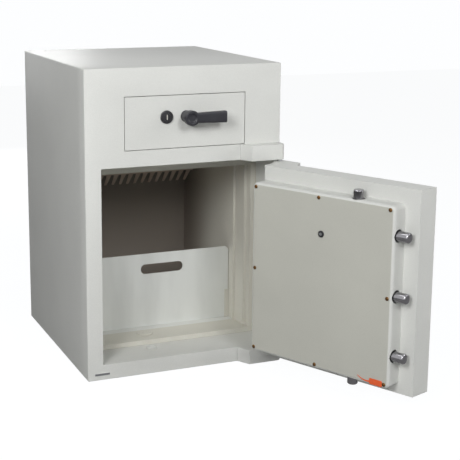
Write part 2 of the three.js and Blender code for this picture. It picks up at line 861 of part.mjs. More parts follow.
// Carriage: the bar that carries the side bolts, and its rack over the pinion.
function boltCarriage() {
  const bottom = sideBoltRows[2] - carriageOverhang;
  const top = sideBoltRows[0] + carriageOverhang;
  const right = carriageLeft + carriageWidth;
  let carriage = block(carriageLeft, right, rackFirst, boltDepth + spigotRadius + overrun, bottom, top);
  const spigotHole = spigotRadius + seat;
  for (const z of sideBoltRows) {
    carriage = carriage.subtract(rodX(spigotHole, carriageLeft - overrun, right + overrun, boltDepth, z));
  }
  const start = carriageLeft + carriageWidth / 2 - doorSpindleX;
  const rack = rackOutline(-boltThrow / 2 - toothPitch, boltThrow + toothPitch + rackReach);
  const arm = [[start, rackHeight], [start, addendumShare * toothModule + overrun]];
  const inPlace = ([u, v]) => [doorSpindleX + u, doorSpindleZ + pitchRadius + v];
  const [first, second] = [rack[0], rack[1]];
  const tie = [...arm, second, first].map(inPlace);
  return carriage
    .add(layerPrism(rack.map(inPlace), rackFirst))
    .add(layerPrism(tie, rackFirst));
}

// Link of the top bolt: a rack on the pinion's right and an arm across to the bolt.
function topLink() {
  const armTop = topArmBottom + armHeight;
  const rack = rackOutline(doorSpindleZ - armTop, boltThrow + toothPitch + rackReach);
  const inPlace = ([u, v]) => [doorSpindleX + pitchRadius + v, doorSpindleZ - u];
  const right = doorSpindleX + pitchRadius + rackHeight;
  return boltArm(topBoltX, right, topArmBottom, topRackLayer)
    .add(layerPrism(rack.map(inPlace), topRackLayer));
}

// Link of the bottom bolt: a rack on the pinion's left and an arm across to the bolt.
function bottomLink() {
  const rack = rackOutline(-boltThrow - toothPitch - rackReach, doorSpindleZ - bottomArmBottom);
  const inPlace = ([u, v]) => [doorSpindleX - pitchRadius - v, doorSpindleZ - u];
  const right = doorSpindleX - pitchRadius - addendumShare * toothModule - overrun;
  return boltArm(topBoltX, right, bottomArmBottom, bottomRackLayer)
    .add(layerPrism(rack.map(inPlace), bottomRackLayer));
}

// Arm of a link, with the block that takes the bolt's spigot.
function boltArm(boltX, right, bottom, layer) {
  const front = Math.min(layer, boltDepth - spigotRadius - overrun);
  const rear = Math.max(layer + rackThickness, boltDepth + spigotRadius + overrun);
  const top = bottom + armHeight;
  return block(boltX - boltRadius, boltX + boltRadius, front, rear, bottom, top)
    .add(block(boltX, right, layer, layer + rackThickness, bottom, top))
    .subtract(rodZ(spigotRadius + seat, bottom - overrun, top + overrun, boltX, boltDepth));
}

// Lever: a round hub with a shallow recess and a flat arm that widens to a chamfered end.
function leverHandle(x, z) {
  const root = leverRootHeight / 2;
  const tip = leverTipHeight / 2;
  const join = Math.asin(root / hubRadius);
  const shape = new THREE.Shape();
  shape.absarc(0, 0, hubRadius, join, 2 * Math.PI - join);
  shape.lineTo(leverReach - leverTipChamfer, -tip);
  shape.lineTo(leverReach, leverTipChamfer - tip);
  shape.lineTo(leverReach, tip - leverTipChamfer);
  shape.lineTo(leverReach - leverTipChamfer, tip);
  shape.closePath();
  const face = -leverStandoff;
  const back = leverThickness - leverStandoff;
  let lever = prismY(shape, face, back, leverBevel);
  lever = lever.add(rodY(neckRadius, back - overrun, -roseHeight, 0, 0));
  lever = lever.add(rodY(roseRadius, -roseHeight, -seat, 0, 0));
  lever = lever.subtract(rodY(hubRecessRadius, face - overrun, face + hubRecessDepth, 0, 0));
  lever = lever.subtract(rodY(spindleRadius + seat, face + leverThickness / 2 - seat, overrun, 0, 0));
  return lever.translate([x, 0, z]);
}

// Spindle of the door, with the pinion for the three racks and a thin tail through the cover.
function doorSpindle() {
  const start = leverThickness / 2 - leverStandoff;
  const pinionEnd = pinionRear + rackGap;
  const points = pinionOutline().map(([u, v]) => [doorSpindleX + u, doorSpindleZ + v]);
  const tailEnd = coverRear + spindleEndProud;
  return rodY(spindleRadius, start, pinionEnd, doorSpindleX, doorSpindleZ, smallFacets)
    .add(rodY(spindleTailRadius, pinionEnd - overrun, tailEnd, doorSpindleX, doorSpindleZ, smallFacets))
    .add(prismY(polygon(points), rackFirst - rackGap, pinionEnd));
}

// Spindle of the drawer with the tongue that catches behind the front of the cabinet.
function drawerSpindle() {
  const start = leverThickness / 2 - leverStandoff;
  const tongueStart = frontPlate + tongueGap;
  const end = tongueStart + tongueThickness;
  const half = tongueWidth / 2;
  const outline = new THREE.Shape();
  outline.absarc(0, 0, half, Math.PI / 2, 3 * Math.PI / 2);
  outline.absarc(tongueReach - half / 2, half / 2 - half, half / 2, -Math.PI / 2, 0);
  outline.absarc(tongueReach - half / 2, half / 2, half / 2, 0, Math.PI / 2);
  outline.closePath();
  const tongue = prismY(outline, tongueStart, end).translate([drawerSpindleX, 0, drawerSpindleZ]);
  return rodY(spindleRadius, start, end, drawerSpindleX, drawerSpindleZ, smallFacets).add(tongue);
}

// Fixed ring and barrel of a key lock.
function lockBarrel(x, z, rear) {
  const inner = plugRadius + plugClearance;
  const edge = lockProud / 4;
  const profile = [
    [inner, -lockProud],
    [lockRadius - edge, -lockProud],
    [lockRadius, edge - lockProud],
    [lockRadius, rear],
    [inner, rear],
    [inner, -lockProud],
  ];
  return turned(profile, directionY, x, 0, z);
}

// Turning plug with an upright key slot.
function keyPlug(x, z, rear) {
  const half = keySlotWidth / 2;
  const face = -lockProud - seat;
  const slot = block(
    x - half, x + half,
    face - overrun, face + keySlotDepth,
    z - keySlotHeight / 2, z + keySlotHeight / 2,
  );
  return rodY(plugRadius, face, rear, x, z, smallFacets).subtract(slot);
}

// Lock case behind the slab, under the level of the racks.
function lockCase() {
  const x = doorSpindleX - lockOffset;
  const half = lockCaseWidth / 2;
  const front = slabThickness + seat;
  return block(
    x - half, x + half,
    front, front + lockCaseThickness,
    doorSpindleZ - lockCaseBelow, doorSpindleZ + lockCaseAbove,
  );
}

// Bare tag beside the lower screw on the free side, notched by its head, with a tapering tail.
function warningTag() {
  const left = screwColumnFree + tagAside;
  const top = screwRowBottom + tagHeight - tagDrop;
  const bottom = screwRowBottom - tagDrop;
  const front = coverRear + seat;
  const label = roundedRectangle(left, left + tagWidth, bottom, top, tagCorner);
  const tailStart = left + tagWidth - tagCorner;
  const tailEnd = left + tagWidth + tagTailLength;
  const tailMiddle = (tailStart + tailEnd) / 2;
  const tailLevel = (bottom + top) / 2;
  const tailSag = tailLevel - tagTailSag;
  const tail = new THREE.Shape();
  tail.moveTo(tailStart, tailLevel - tagTailRoot / 2);
  tail.quadraticCurveTo(tailMiddle, tailSag, tailEnd, tailLevel + tagTailRise);
  tail.lineTo(tailEnd, tailLevel + tagTailRise + tagTailTip);
  tail.quadraticCurveTo(tailMiddle, tailSag + tagTailRoot, tailStart, tailLevel + tagTailRoot / 2);
  tail.closePath();
  const tag = prismY(label, front, front + tagThickness).add(prismY(tail, front, front + tagThickness));
  const head = screwHeadRadius + seat;
  return tag.subtract(rodY(head, coverRear - overrun, coverRear + overrun, screwColumnFree, screwRowBottom));
}

// Drawer panel, flush in the cabinet's front, bored for its handle and its lock.
function drawerFront() {
  const outline = roundedRectangle(panelLeft, panelRight, panelBottom, panelTop, panelEdge);
  const rear = panelThickness + overrun;
  return prismY(outline, 0, panelThickness, panelEdge / 2)
    .subtract(rodY(spindleRadius + spindleClearance, -overrun, rear, drawerSpindleX, drawerSpindleZ))
    .subtract(rodY(lockRadius + seat, -overrun, rear, drawerSpindleX - lockOffset, drawerSpindleZ));
}

// Drawer box: a tray with side cheeks to the panel and a floor that ends at the trap.
function drawerBox() {
  const inLeft = boxLeft + boxSheet;
  const inRight = boxRight - boxSheet;
  const floorTop = boxBottom + boxSheet;
  const inRear = boxRear - boxSheet;
  const floorEnd = trapHingeY - trapBarrel - trapGap;
  const pinHole = trapPinRadius + seat;
  return block(boxLeft, boxRight, boxFront, boxRear, boxBottom, boxTop)
    .subtract(block(inLeft, inRight, boxWallFront + boxSheet, inRear, floorTop, boxTop + overrun))
    .subtract(block(inLeft, inRight, boxFront - overrun, boxWallFront, boxBottom - overrun, boxTop + overrun))
    .subtract(block(inLeft, inRight, floorEnd, inRear, boxBottom - overrun, floorTop + overrun))
    .subtract(rodX(pinHole, boxLeft - overrun, boxRight + overrun, trapHingeY, trapZ, smallFacets));
}

// Trap: the hinged rear part of the drawer's floor, with its barrel.
function trapFloor() {
  const left = boxLeft + boxSheet + trapGap;
  const right = boxRight - boxSheet - trapGap;
  const rear = boxRear - boxSheet - trapGap;
  const bore = trapPinRadius + seat;
  return block(left, right, trapHingeY, rear, boxBottom, boxBottom + trapThickness)
    .add(rodX(trapBarrel, left, right, trapHingeY, trapZ, smallFacets))
    .subtract(rodX(bore, left - overrun, right + overrun, trapHingeY, trapZ, smallFacets));
}

function trapPin() {
  return rodX(trapPinRadius, boxLeft + seat, boxRight - seat, trapHingeY, trapZ, smallFacets);
}

// Housing: the sleeve that carries the drawer, open in front and over the drop shaft.
function drawerHousing() {
  const left = compartmentLeft + seat;
  const right = compartmentRight - seat;
  const front = frontPlate + seat;
  const rear = compartmentRear - seat;
  const bottom = apertureBottom + seat;
  const top = compartmentTop - seat;
  const wall = housingWall;
  return block(left, right, front, rear, bottom, top)
    .subtract(block(left + wall, right - wall, front - overrun, rear - wall, bottom + wall, top - wall))
    .subtract(block(boxLeft, boxRight, shaftFront, shaftRear, bottom - overrun, bottom + wall + overrun));
}

// Fixed runner: a channel open towards the drawer; side is -1 on the left and +1 on the right.
function runner(side) {
  const wall = housingWall + 2 * seat;
  const outer = side < 0 ? compartmentLeft + wall : compartmentRight - wall;
  const inner = outer - side * runnerReach;
  const top = runnerBottom + runnerHeight;
  const grooveBottom = runnerBottom + runnerSheet;
  const grooveTop = top - runnerSheet;
  const web = outer - side * runnerSheet;
  const open = inner - side * overrun;
  return block(Math.min(outer, inner), Math.max(outer, inner), runnerFront, runnerRear, runnerBottom, top)
    .subtract(block(
      Math.min(web, open), Math.max(web, open),
      runnerFront - overrun, runnerRear + overrun,
      grooveBottom, grooveTop,
    ));
}

// Rail on the drawer's side that runs in the channel.
function rail(side) {
  const inner = side < 0 ? boxLeft - seat : boxRight + seat;
  const outer = side < 0 ? apertureLeft + railClear : apertureRight - railClear;
  const bottom = runnerBottom + runnerSheet + running;
  const top = runnerBottom + runnerHeight - runnerSheet - running;
  return block(Math.min(outer, inner), Math.max(outer, inner), railFront, railRear, bottom, top);
}

// A bent strip of sheet: the open line of its upper face, thickened downwards with mitred bends.
function bentStrip(points, thickness) {
  const upper = points.map(([u, v]) => new THREE.Vector2(u, v));
  const normals = upper.slice(1).map((point, i) => {
    const along = point.clone().sub(upper[i]).normalize();
    return new THREE.Vector2(along.y, -along.x);
  });
  const lower = upper.map((point, i) => {
    const before = normals[Math.max(0, i - 1)];
    const after = normals[Math.min(normals.length - 1, i)];
    const mitre = before.clone().add(after).normalize();
    return point.clone().addScaledVector(mitre, thickness / mitre.dot(after));
  });
  return new THREE.Shape([...upper, ...lower.reverse()]);
}

// Chute under the drop shaft: a flange under the ceiling, the slope and a toe for the comb.
function chute() {
  const top = chamberTop - seat;
  const turn = combAngle * Math.PI / 180;
  const line = [
    [shaftFront - chuteFlange, top],
    [shaftFront, top],
    [chuteEndY, chuteEndZ],
    [chuteEndY + chuteToe * Math.cos(turn), chuteEndZ - chuteToe * Math.sin(turn)],
  ];
  return prismX(bentStrip(line, chuteSheet), chamberLeftWall + seat, chamberRight - seat);
}

// Comb: a strip with tapered teeth, laid under the toe of the chute.
function comb() {
  const left = chamberLeftWall + seat;
  const right = chamberRight - seat;
  const width = right - left;
  const count = Math.floor(width / combPitch);
  const first = left + (width - (count - 1) * combPitch) / 2;
  const root = combInset + combStrip;
  const tip = root + combTooth;
  const halfRoot = combPitch * toothRootShare / 2;
  const halfTip = combPitch * toothTipShare / 2;
  const points = [[right, combInset], [left, combInset], [left, root]];
  for (let tooth = 0; tooth < count; tooth += 1) {
    const centre = first + tooth * combPitch;
    points.push([centre - halfRoot, root], [centre - halfTip, tip]);
    points.push([centre + halfTip, tip], [centre + halfRoot, root]);
  }
  points.push([right, root]);
  const geometry = flatExtrusion(polygon(points), combSheet);
  const turn = combAngle * Math.PI / 180;
  const along = new THREE.Vector3(0, Math.cos(turn), -Math.sin(turn));
  const outwards = new THREE.Vector3(0, Math.sin(turn), Math.cos(turn));
  geometry.applyMatrix4(new THREE.Matrix4().makeBasis(directionX, along, outwards));
  const below = outwards.clone().multiplyScalar(-(chuteSheet + seat + combSheet));
  geometry.translate(0, chuteEndY + below.y, chuteEndZ + below.z);
  return solidOf(geometry);
}

// Retaining plate: stands across the chamber, with round top corners and a hand slot.
function retainingPlate() {
  const left = chamberLeftWall + plateEdgeGap;
  const right = chamberRight - plateEdgeGap;
  const bottom = chamberFloor + seat;
  const top = chamberFloor + plateHeight;
  const shape = new THREE.Shape();
  shape.moveTo(left, bottom);
  shape.lineTo(right, bottom);
  shape.absarc(right - plateCorner, top - plateCorner, plateCorner, 0, Math.PI / 2);
  shape.absarc(left + plateCorner, top - plateCorner, plateCorner, Math.PI / 2, Math.PI);
  shape.closePath();
  const slotTop = slotBottom + slotHeight;
  const slotRight = slotLeft + slotWidth;
  const slot = roundedRectangle(slotLeft, slotRight, slotBottom, slotTop, slotHeight * slotRoundShare);
  return prismY(shape, plateFront, plateRear)
    .subtract(prismY(slot, plateFront - overrun, plateRear + overrun));
}

// Guide channel for the plate on a side wall.
function plateGuide(side) {
  const outer = side < 0 ? chamberLeftWall + seat : chamberRight - seat;
  const inner = outer - side * guideReach;
  const web = outer - side * guideWebSheet;
  const open = inner - side * overrun;
  const front = plateFront - running;
  const rear = plateRear + running;
  const bottom = chamberFloor + seat;
  const top = bottom + guideHeight;
  return block(
    Math.min(outer, inner), Math.max(outer, inner),
    front - guideFlangeSheet, rear + guideFlangeSheet,
    bottom, top,
  ).subtract(block(Math.min(web, open), Math.max(web, open), front, rear, bottom - overrun, top + overrun));
}

// Plug of the floor anchor hole: a disc with two key holes on a stem.
function anchorPlug() {
  const discTop = chamberFloor + seat + anchorDiscHeight;
  const profile = [
    [0, chamberFloor - anchorStemLength],
    [anchorStemRadius - seat, chamberFloor - anchorStemLength],
    [anchorStemRadius - seat, chamberFloor + seat],
    [anchorDiscRadius, chamberFloor + seat],
    [anchorDiscRadius, discTop - anchorDiscHeight / 3],
    [anchorDiscRadius - anchorDiscHeight / 3, discTop],
    [0, discTop],
  ];
  let plug = turned(profile, directionZ, plugX, plugY, 0);
  for (const side of [-1, 1]) {
    const x = plugX + side * anchorHolePitch / 2;
    plug = plug.subtract(rodZ(anchorHoleRadius, chamberFloor, discTop + overrun, x, plugY, smallFacets));
  }
  return plug;
}

// Small bare plate in the lower left corner of the front.
function namePlate() {
  const right = namePlateX + namePlateWidth;
  const top = namePlateZ + namePlateHeight;
  const outline = roundedRectangle(namePlateX, right, namePlateZ, top, namePlateCorner);
  return prismY(outline, -seat - namePlateThickness, -seat);
}

function addCabinet() {
  add(safe, 'front_frame', frontFrame(), paintedFront);
  add(safe, 'cabinet_body', cabinetBody(), paintedFront);
  add(safe, 'sill_strike', sillStrike(), paintedFront);
  add(safe, 'door_frame', doorFrame(), paintedSteel);
  add(safe, 'drawer_housing', drawerHousing(), paintedSteel);
  add(safe, 'runner_left', runner(-1), bareSteel);
  add(safe, 'runner_right', runner(1), bareSteel);
  add(safe, 'chute', chute(), paintedSteel);
  add(safe, 'comb', comb(), paintedSteel);
  add(safe, 'plate_guide_left', plateGuide(-1), paintedSteel);
  add(safe, 'plate_guide_right', plateGuide(1), paintedSteel);
  add(safe, 'retaining_plate', retainingPlate(), galvanised);
  add(safe, 'anchor_plug', anchorPlug(), paintedSteel);
  add(safe, 'name_plate', namePlate(), satinPlate);
}

function addDoor(door) {
  const lockX = doorSpindleX - lockOffset;
  add(door, 'door_slab', doorSlab(), paintedFront);
  add(door, 'rear_cover', rearCover(), coverPaint);
  screwPlaces.forEach(([x, z], i) => {
    add(door, `cover_screw_${i + 1}`, coverScrew(), yellowZinc, x, coverRear, z);
  });
  add(door, 'spindle_grommet', spindleGrommet(), blackPlastic);
  add(door, 'door_lever', leverHandle(doorSpindleX, doorSpindleZ), blackPlastic);
  add(door, 'door_spindle', doorSpindle(), bareSteel);
  add(door, 'door_lock_barrel', lockBarrel(lockX, doorSpindleZ, slabThickness), blackPlastic);
  add(door, 'door_key_plug', keyPlug(lockX, doorSpindleZ, slabThickness - running), blackPlastic);
  add(door, 'door_lock_case', lockCase(), bareSteel);
  add(door, 'side_bolt_guide', sideGuide(), bareSteel);
  add(door, 'top_bolt_guide', endGuide(topGuideBottom), bareSteel);
  add(door, 'bottom_bolt_guide', endGuide(bottomGuideBottom), bareSteel);
  add(door, 'warning_tag', warningTag(), tagOrange);
}

function addBoltwork(door) {
  const left = directionX.clone().negate();
  const down = directionZ.clone().negate();
  const sideBase = carriageLeft - seat;
  const sideSpigot = carriageWidth + seat + spigotProud;
  add(door, 'bolt_carriage', boltCarriage(), bareSteel);
  sideBoltRows.forEach((z, i) => {
    const bolt = lockBolt(left, sideBase - sideBoltTip, sideSpigot);
    add(door, `side_bolt_${i + 1}`, bolt, chrome, sideBase, boltDepth, z);
  });
  const armSpigot = armHeight + seat + spigotProud;
  const topBase = topArmBottom + armHeight + seat;
  const bottomBase = bottomArmBottom - seat;
  add(door, 'top_link', topLink(), bareSteel);
  const topBolt = lockBolt(directionZ, topBoltTip - topBase, armSpigot);
  add(door, 'top_bolt', topBolt, chrome, topBoltX, boltDepth, topBase);
  add(door, 'bottom_link', bottomLink(), bareSteel);
  const bottomBolt = lockBolt(down, bottomBase - bottomBoltTip, armSpigot);
  add(door, 'bottom_bolt', bottomBolt, chrome, topBoltX, boltDepth, bottomBase);
}

function addDrawer() {
  const lockX = drawerSpindleX - lockOffset;
  const barrelRear = panelThickness + lockBarrelRear;
  add(safe, 'drawer_front', drawerFront(), paintedFront);
  add(safe, 'drawer_box', drawerBox(), paintedSteel);
  add(safe, 'rail_left', rail(-1), bareSteel);
  add(safe, 'rail_right', rail(1), bareSteel);
  add(safe, 'drawer_lock_barrel', lockBarrel(lockX, drawerSpindleZ, barrelRear), blackPlastic);
  add(safe, 'drawer_key_plug', keyPlug(lockX, drawerSpindleZ, barrelRear - running), blackPlastic);
  add(safe, 'drawer_lever', leverHandle(drawerSpindleX, drawerSpindleZ), blackPlastic);
  add(safe, 'drawer_spindle', drawerSpindle(), bareSteel);
  add(safe, 'trap_floor', trapFloor(), bareSteel);
  add(safe, 'trap_pin', trapPin(), bareSteel);
}

// The door is drawn shut and turned open about its hinge pins.
const doorSwing = new THREE.Group();
doorSwing.position.set(hingeX, hingeY, 0);
doorSwing.rotation.z = restAngle * Math.PI / 180;
safe.add(doorSwing);
const door = new THREE.Group();
door.position.set(-hingeX, -hingeY, 0);
doorSwing.add(door);

addCabinet();
addHinges(door);
addDoor(door);
addBoltwork(door);
addDrawer();

export default safe;
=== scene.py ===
"""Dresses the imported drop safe: its paints, metals and mouldings, its light and its camera.

All lengths are metres, in the row's frame: X to the right, Y to the back, Z up. What hangs on the
door is measured and made as if the door were shut, and a Space carries it to where it stands open.
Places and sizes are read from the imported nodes, so that each piece lies where its node does.
"""

from __future__ import annotations

import json
import logging
import math
from dataclasses import dataclass
from enum import Enum
from functools import cache
from typing import Callable, Iterable, Sequence, Union

import bpy
import numpy as np
from mathutils import Matrix, Vector


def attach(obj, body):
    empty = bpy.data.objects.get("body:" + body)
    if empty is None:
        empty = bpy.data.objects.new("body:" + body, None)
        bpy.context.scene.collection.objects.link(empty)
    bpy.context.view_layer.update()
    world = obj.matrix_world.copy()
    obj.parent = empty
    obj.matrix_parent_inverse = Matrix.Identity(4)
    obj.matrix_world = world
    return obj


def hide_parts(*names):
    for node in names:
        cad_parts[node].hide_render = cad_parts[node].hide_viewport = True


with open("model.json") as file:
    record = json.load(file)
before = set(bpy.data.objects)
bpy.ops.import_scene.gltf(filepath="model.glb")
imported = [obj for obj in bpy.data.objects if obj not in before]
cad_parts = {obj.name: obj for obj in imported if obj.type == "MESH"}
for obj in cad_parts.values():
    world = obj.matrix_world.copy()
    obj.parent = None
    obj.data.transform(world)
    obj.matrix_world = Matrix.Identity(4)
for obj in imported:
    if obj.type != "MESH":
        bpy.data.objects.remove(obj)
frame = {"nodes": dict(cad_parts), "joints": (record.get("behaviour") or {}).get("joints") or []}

LOG = logging.getLogger("drop_safe")
MM = 0.001
SEAT = 0.3 * MM
WELD = 0.0005 * MM
QUARTER = math.pi / 2
TURN = 2.0 * math.pi
JOINTS = {joint["name"]: joint for joint in frame["joints"]}
SIDE_BOLTS = tuple(f"side_bolt_{number}" for number in range(1, 4))
COVER_SCREWS = tuple(f"cover_screw_{number}" for number in range(1, 9))

# Parts of a noise's range over which a mark fades in.
EVEN_FADE = (0.3, 0.7)
CLOUD_FADE = (0.25, 0.75)
SMEAR_FADE = (0.45, 0.75)
WEAR_FADE = (0.4, 0.8)

Number = Union[float, "Socket"]
Colour = tuple[float, float, float]
Place = tuple[float, float, float]
Pair = tuple[float, float]


def srgb(red: int, green: int, blue: int) -> Colour:
    """Turns a colour seen on screen into the linear one that a shader takes.

    Args:
        red: Red, 0 to 255.
        green: Green, 0 to 255.
        blue: Blue, 0 to 255.

    Returns:
        The three linear parts.
    """
    parts = np.array([red, green, blue]) / 255.0
    linear = np.where(parts <= 0.04045, parts / 12.92, ((parts + 0.055) / 1.055) ** 2.4)
    return tuple(float(part) for part in linear)


def scaled(colour: Colour, times: float, plus: float = 0.0) -> Colour:
    """A colour made darker or lighter, up to white."""
    return tuple(min(1.0, part * times + plus) for part in colour)


class Socket:
    """A node's output, with the arithmetic that adds Math nodes to its sheet."""

    def __init__(self, sheet: "ShaderSheet", output: bpy.types.NodeSocket) -> None:
        """Keeps the sheet and the output."""
        self.sheet = sheet
        self.output = output

    def _math(self, operation: str, *values: Number) -> "Socket":
        """Adds a Math node of one operation over the values."""
        return self.sheet.node("ShaderNodeMath", dict(enumerate(values)), operation=operation)

    def __add__(self, other: Number) -> "Socket":
        """Sum."""
        return self._math("ADD", self, other)

    def __radd__(self, other: Number) -> "Socket":
        """Sum, reflected."""
        return self._math("ADD", other, self)

    def __mul__(self, other: Number) -> "Socket":
        """Product."""
        return self._math("MULTIPLY", self, other)

    def __rmul__(self, other: Number) -> "Socket":
        """Product, reflected."""
        return self._math("MULTIPLY", other, self)

    def step(self, low: float, high: float) -> "Socket":
        """Runs smoothly from 0 at low to 1 at high."""
        inputs = {"Value": self, "From Min": low, "From Max": high}
        return self.sheet.node("ShaderNodeMapRange", inputs, interpolation_type="SMOOTHSTEP")


class ShaderSheet:
    """The nodes of one material or world."""

    def __init__(self, owner: bpy.types.Material | bpy.types.World) -> None:
        """Empties the nodes of a new material or world.

        Args:
            owner: The material or world.
        """
        owner.use_nodes = True
        self.owner = owner
        self.tree = owner.node_tree
        self.tree.nodes.clear()

    def node(
        self, kind: str, inputs: dict | None = None, output: int | str = 0, **settings: object
    ) -> Socket | None:
        """Adds a node, sets it and then fills or links its sockets.

        Args:
            kind: The node's type.
            inputs: Values or sockets by input name or number.
            output: The output to give back, by name or number.
            settings: Attributes to set first.

        Returns:
            The output, or nothing where the node has none.
        """
        made = self.tree.nodes.new(kind)
        for key, value in settings.items():
            setattr(made, key, value)
        for key, value in (inputs or {}).items():
            if isinstance(value, Socket):
                self.tree.links.new(value.output, made.inputs[key])
            elif made.inputs[key].type == "RGBA":
                made.inputs[key].default_value = (*value, 1.0)
            else:
                made.inputs[key].default_value = value
        return Socket(self, made.outputs[output]) if len(made.outputs) else None

    def place(self, stretch: Place = (1.0, 1.0, 1.0)) -> Socket:
        """Object coordinates, stretched along each axis."""
        coordinates = self.node("ShaderNodeTexCoord", output="Object")
        return self.node("ShaderNodeMapping", {"Vector": coordinates, "Scale": stretch})

    def noise(self, grain: float, detail: float = 2.0, place: Socket | None = None) -> Socket:
        """Noise whose lumps measure about grain metres, 0 to 1 with a mean of a half."""
        inputs = {"Vector": place or self.place(), "Scale": 1.0 / grain, "Detail": detail}
        return self.node("ShaderNodeTexNoise", inputs, "Fac")

    def blend(self, factor: Number, first: Colour | Socket, second: Colour | Socket) -> Socket:
        """Mixes two colours by a factor."""
        return self.node("ShaderNodeMix", {0: factor, 6: first, 7: second}, 2, data_type="RGBA")

    def bump(self, height: Socket, depth: float, edge: float = 0.0) -> Socket:
        """A normal that follows a height, over softened edges.

        Args:
            height: The height, 0 to 1.
            depth: What 1 stands for, in metres.
            edge: The radius over which sharp edges look softened.

        Returns:
            The normal.
        """
        inputs: dict = {"Height": height, "Distance": depth, "Strength": 1.0}
        if edge > 0.0:
            inputs["Normal"] = self.node("ShaderNodeBevel", {"Radius": edge}, samples=4)
        return self.node("ShaderNodeBump", inputs)

    def finish(self, **values: object) -> bpy.types.Material:
        """Ends the sheet in a Principled shader with the given socket values.

        Args:
            values: Socket names, with _ for a space, and their values.

        Returns:
            The finished material.
        """
        named = {key.replace("_", " "): value for key, value in values.items()}
        self.node("ShaderNodeOutputMaterial", {0: self.node("ShaderNodeBsdfPrincipled", named)})
        return self.owner


@dataclass(frozen=True)
class Recipe:
    """What every material starts from."""

    name: str
    colour: Colour

    def sheet(self) -> ShaderSheet:
        """An empty sheet for the new material."""
        return ShaderSheet(bpy.data.materials.new(self.name))


@dataclass(frozen=True)
class TexturedPaint(Recipe):
    """Stoved paint with a fine orange-peel grain, rubbed a little unevenly."""

    grain: float = 1.5 * MM
    cloud: float = 160 * MM
    depth: float = 0.05 * MM
    edge: float = 1.2 * MM
    roughness: float = 0.5
    gloss: float = 0.4
    grain_share: float = 0.55
    grain_dulling: float = 0.12
    cloud_dulling: float = 0.1
    darkest: float = 0.93
    lightest: float = 1.03

    def build(self) -> bpy.types.Material:
        """Paint: grain in the normal, soft cloudiness and grain in colour and gloss.

        Returns:
            The new material.
        """
        sheet = self.sheet()
        grain = sheet.noise(self.grain, detail=3.0)
        cloud = sheet.noise(self.cloud, detail=3.0)
        shade = grain.step(*EVEN_FADE) * self.grain_share
        shade = shade + cloud.step(*CLOUD_FADE) * (1.0 - self.grain_share)
        smoothest = self.roughness - (self.grain_dulling + self.cloud_dulling) / 2
        return sheet.finish(
            Base_Color=self.coat(sheet, shade),
            Roughness=grain * self.grain_dulling + cloud * self.cloud_dulling + smoothest,
            Specular_IOR_Level=self.gloss,
            Normal=sheet.bump(grain, self.depth, self.edge),
        )

    def coat(self, sheet: ShaderSheet, shade: Socket) -> Socket:
        """The paint's colour, darker and lighter by a shade of 0 to 1."""
        lighter = scaled(self.colour, self.lightest)
        return sheet.blend(shade, scaled(self.colour, self.darkest), lighter)


@dataclass(frozen=True)
class DepthShadedPaint(TexturedPaint):
    """Inside paint with painted shade: its colour darkens towards the back, where little light
    comes in through the doorway.
    """

    # Painted shade: the dark colour that the paint fades to at the back, and the depths between
    # which it fades in.
    back_shade: Colour = srgb(155, 147, 139)
    first: float = 20 * MM
    last: float = 235 * MM

    def coat(self, sheet: ShaderSheet, shade: Socket) -> Socket:
        """The paint's colour near the doorway, blended by the depth Y into a painted shade at the
        back.

        Args:
            sheet: The sheet of the material.
            shade: How light the paint is, 0 to 1.

        Returns:
            The colour.
        """
        depth = sheet.node("ShaderNodeSeparateXYZ", {0: sheet.place()}, "Y")
        # How far the painted shade has come in, from 0 at the doorway to 1 at the back.
        shade_share = depth.step(self.first, self.last)
        return sheet.blend(shade_share, super().coat(sheet, shade), self.back_shade)


@dataclass(frozen=True)
class DrawnMetal(Recipe):
    """Bare metal with fine lines along one direction and a cloudy mill surface."""

    roughness: float
    stretch: Place = (0.03, 1.0, 1.0)
    grain: float = 0.6 * MM
    depth: float = 0.01 * MM
    edge: float = 0.4 * MM
    mottle: float = 0.1
    cloud: float = 18.0 * MM
    cloud_stretch: Place = (1.0, 1.0, 1.0)
    metallic: float = 1.0
    streak_dulling: float = 0.14
    cloud_dulling: float = 0.08
    mean_dulling: float = 0.1

    def build(self) -> bpy.types.Material:
        """Metal: a cloudy colour, and streaks in gloss and normal.

        Returns:
            The new material.
        """
        sheet = self.sheet()
        streak = sheet.noise(self.grain, place=sheet.place(self.stretch))
        cloud = sheet.noise(self.cloud, detail=3.0, place=sheet.place(self.cloud_stretch))
        darker = scaled(self.colour, 1.0 - self.mottle)
        smoothest = self.roughness - self.mean_dulling
        return sheet.finish(
            Base_Color=sheet.blend(cloud.step(*EVEN_FADE), darker, self.colour),
            Metallic=self.metallic,
            Roughness=streak * self.streak_dulling + cloud * self.cloud_dulling + smoothest,
            Normal=sheet.bump(streak, self.depth, self.edge),
        )


@dataclass(frozen=True)
class BrightPlate(Recipe):
    """Chromium plate, with faint smears that dull it."""

    roughness: float
    smear: float = 7.0 * MM
    smear_share: float = 0.4
    smear_shade: float = 0.8
    smear_dulling: float = 0.1
    grain: float = 0.5 * MM
    depth: float = 0.002 * MM

    def build(self) -> bpy.types.Material:
        """Plate: smooth, with smears in its colour and gloss.

        Returns:
            The new material.
        """
        sheet = self.sheet()
        smear = sheet.noise(self.smear, detail=4.0).step(*SMEAR_FADE)
        dulled = scaled(self.colour, self.smear_shade)
        return sheet.finish(
            Base_Color=sheet.blend(smear * self.smear_share, self.colour, dulled),
            Metallic=1.0,
            Roughness=smear * self.smear_dulling + self.roughness,
            Normal=sheet.bump(sheet.noise(self.grain), self.depth),
        )


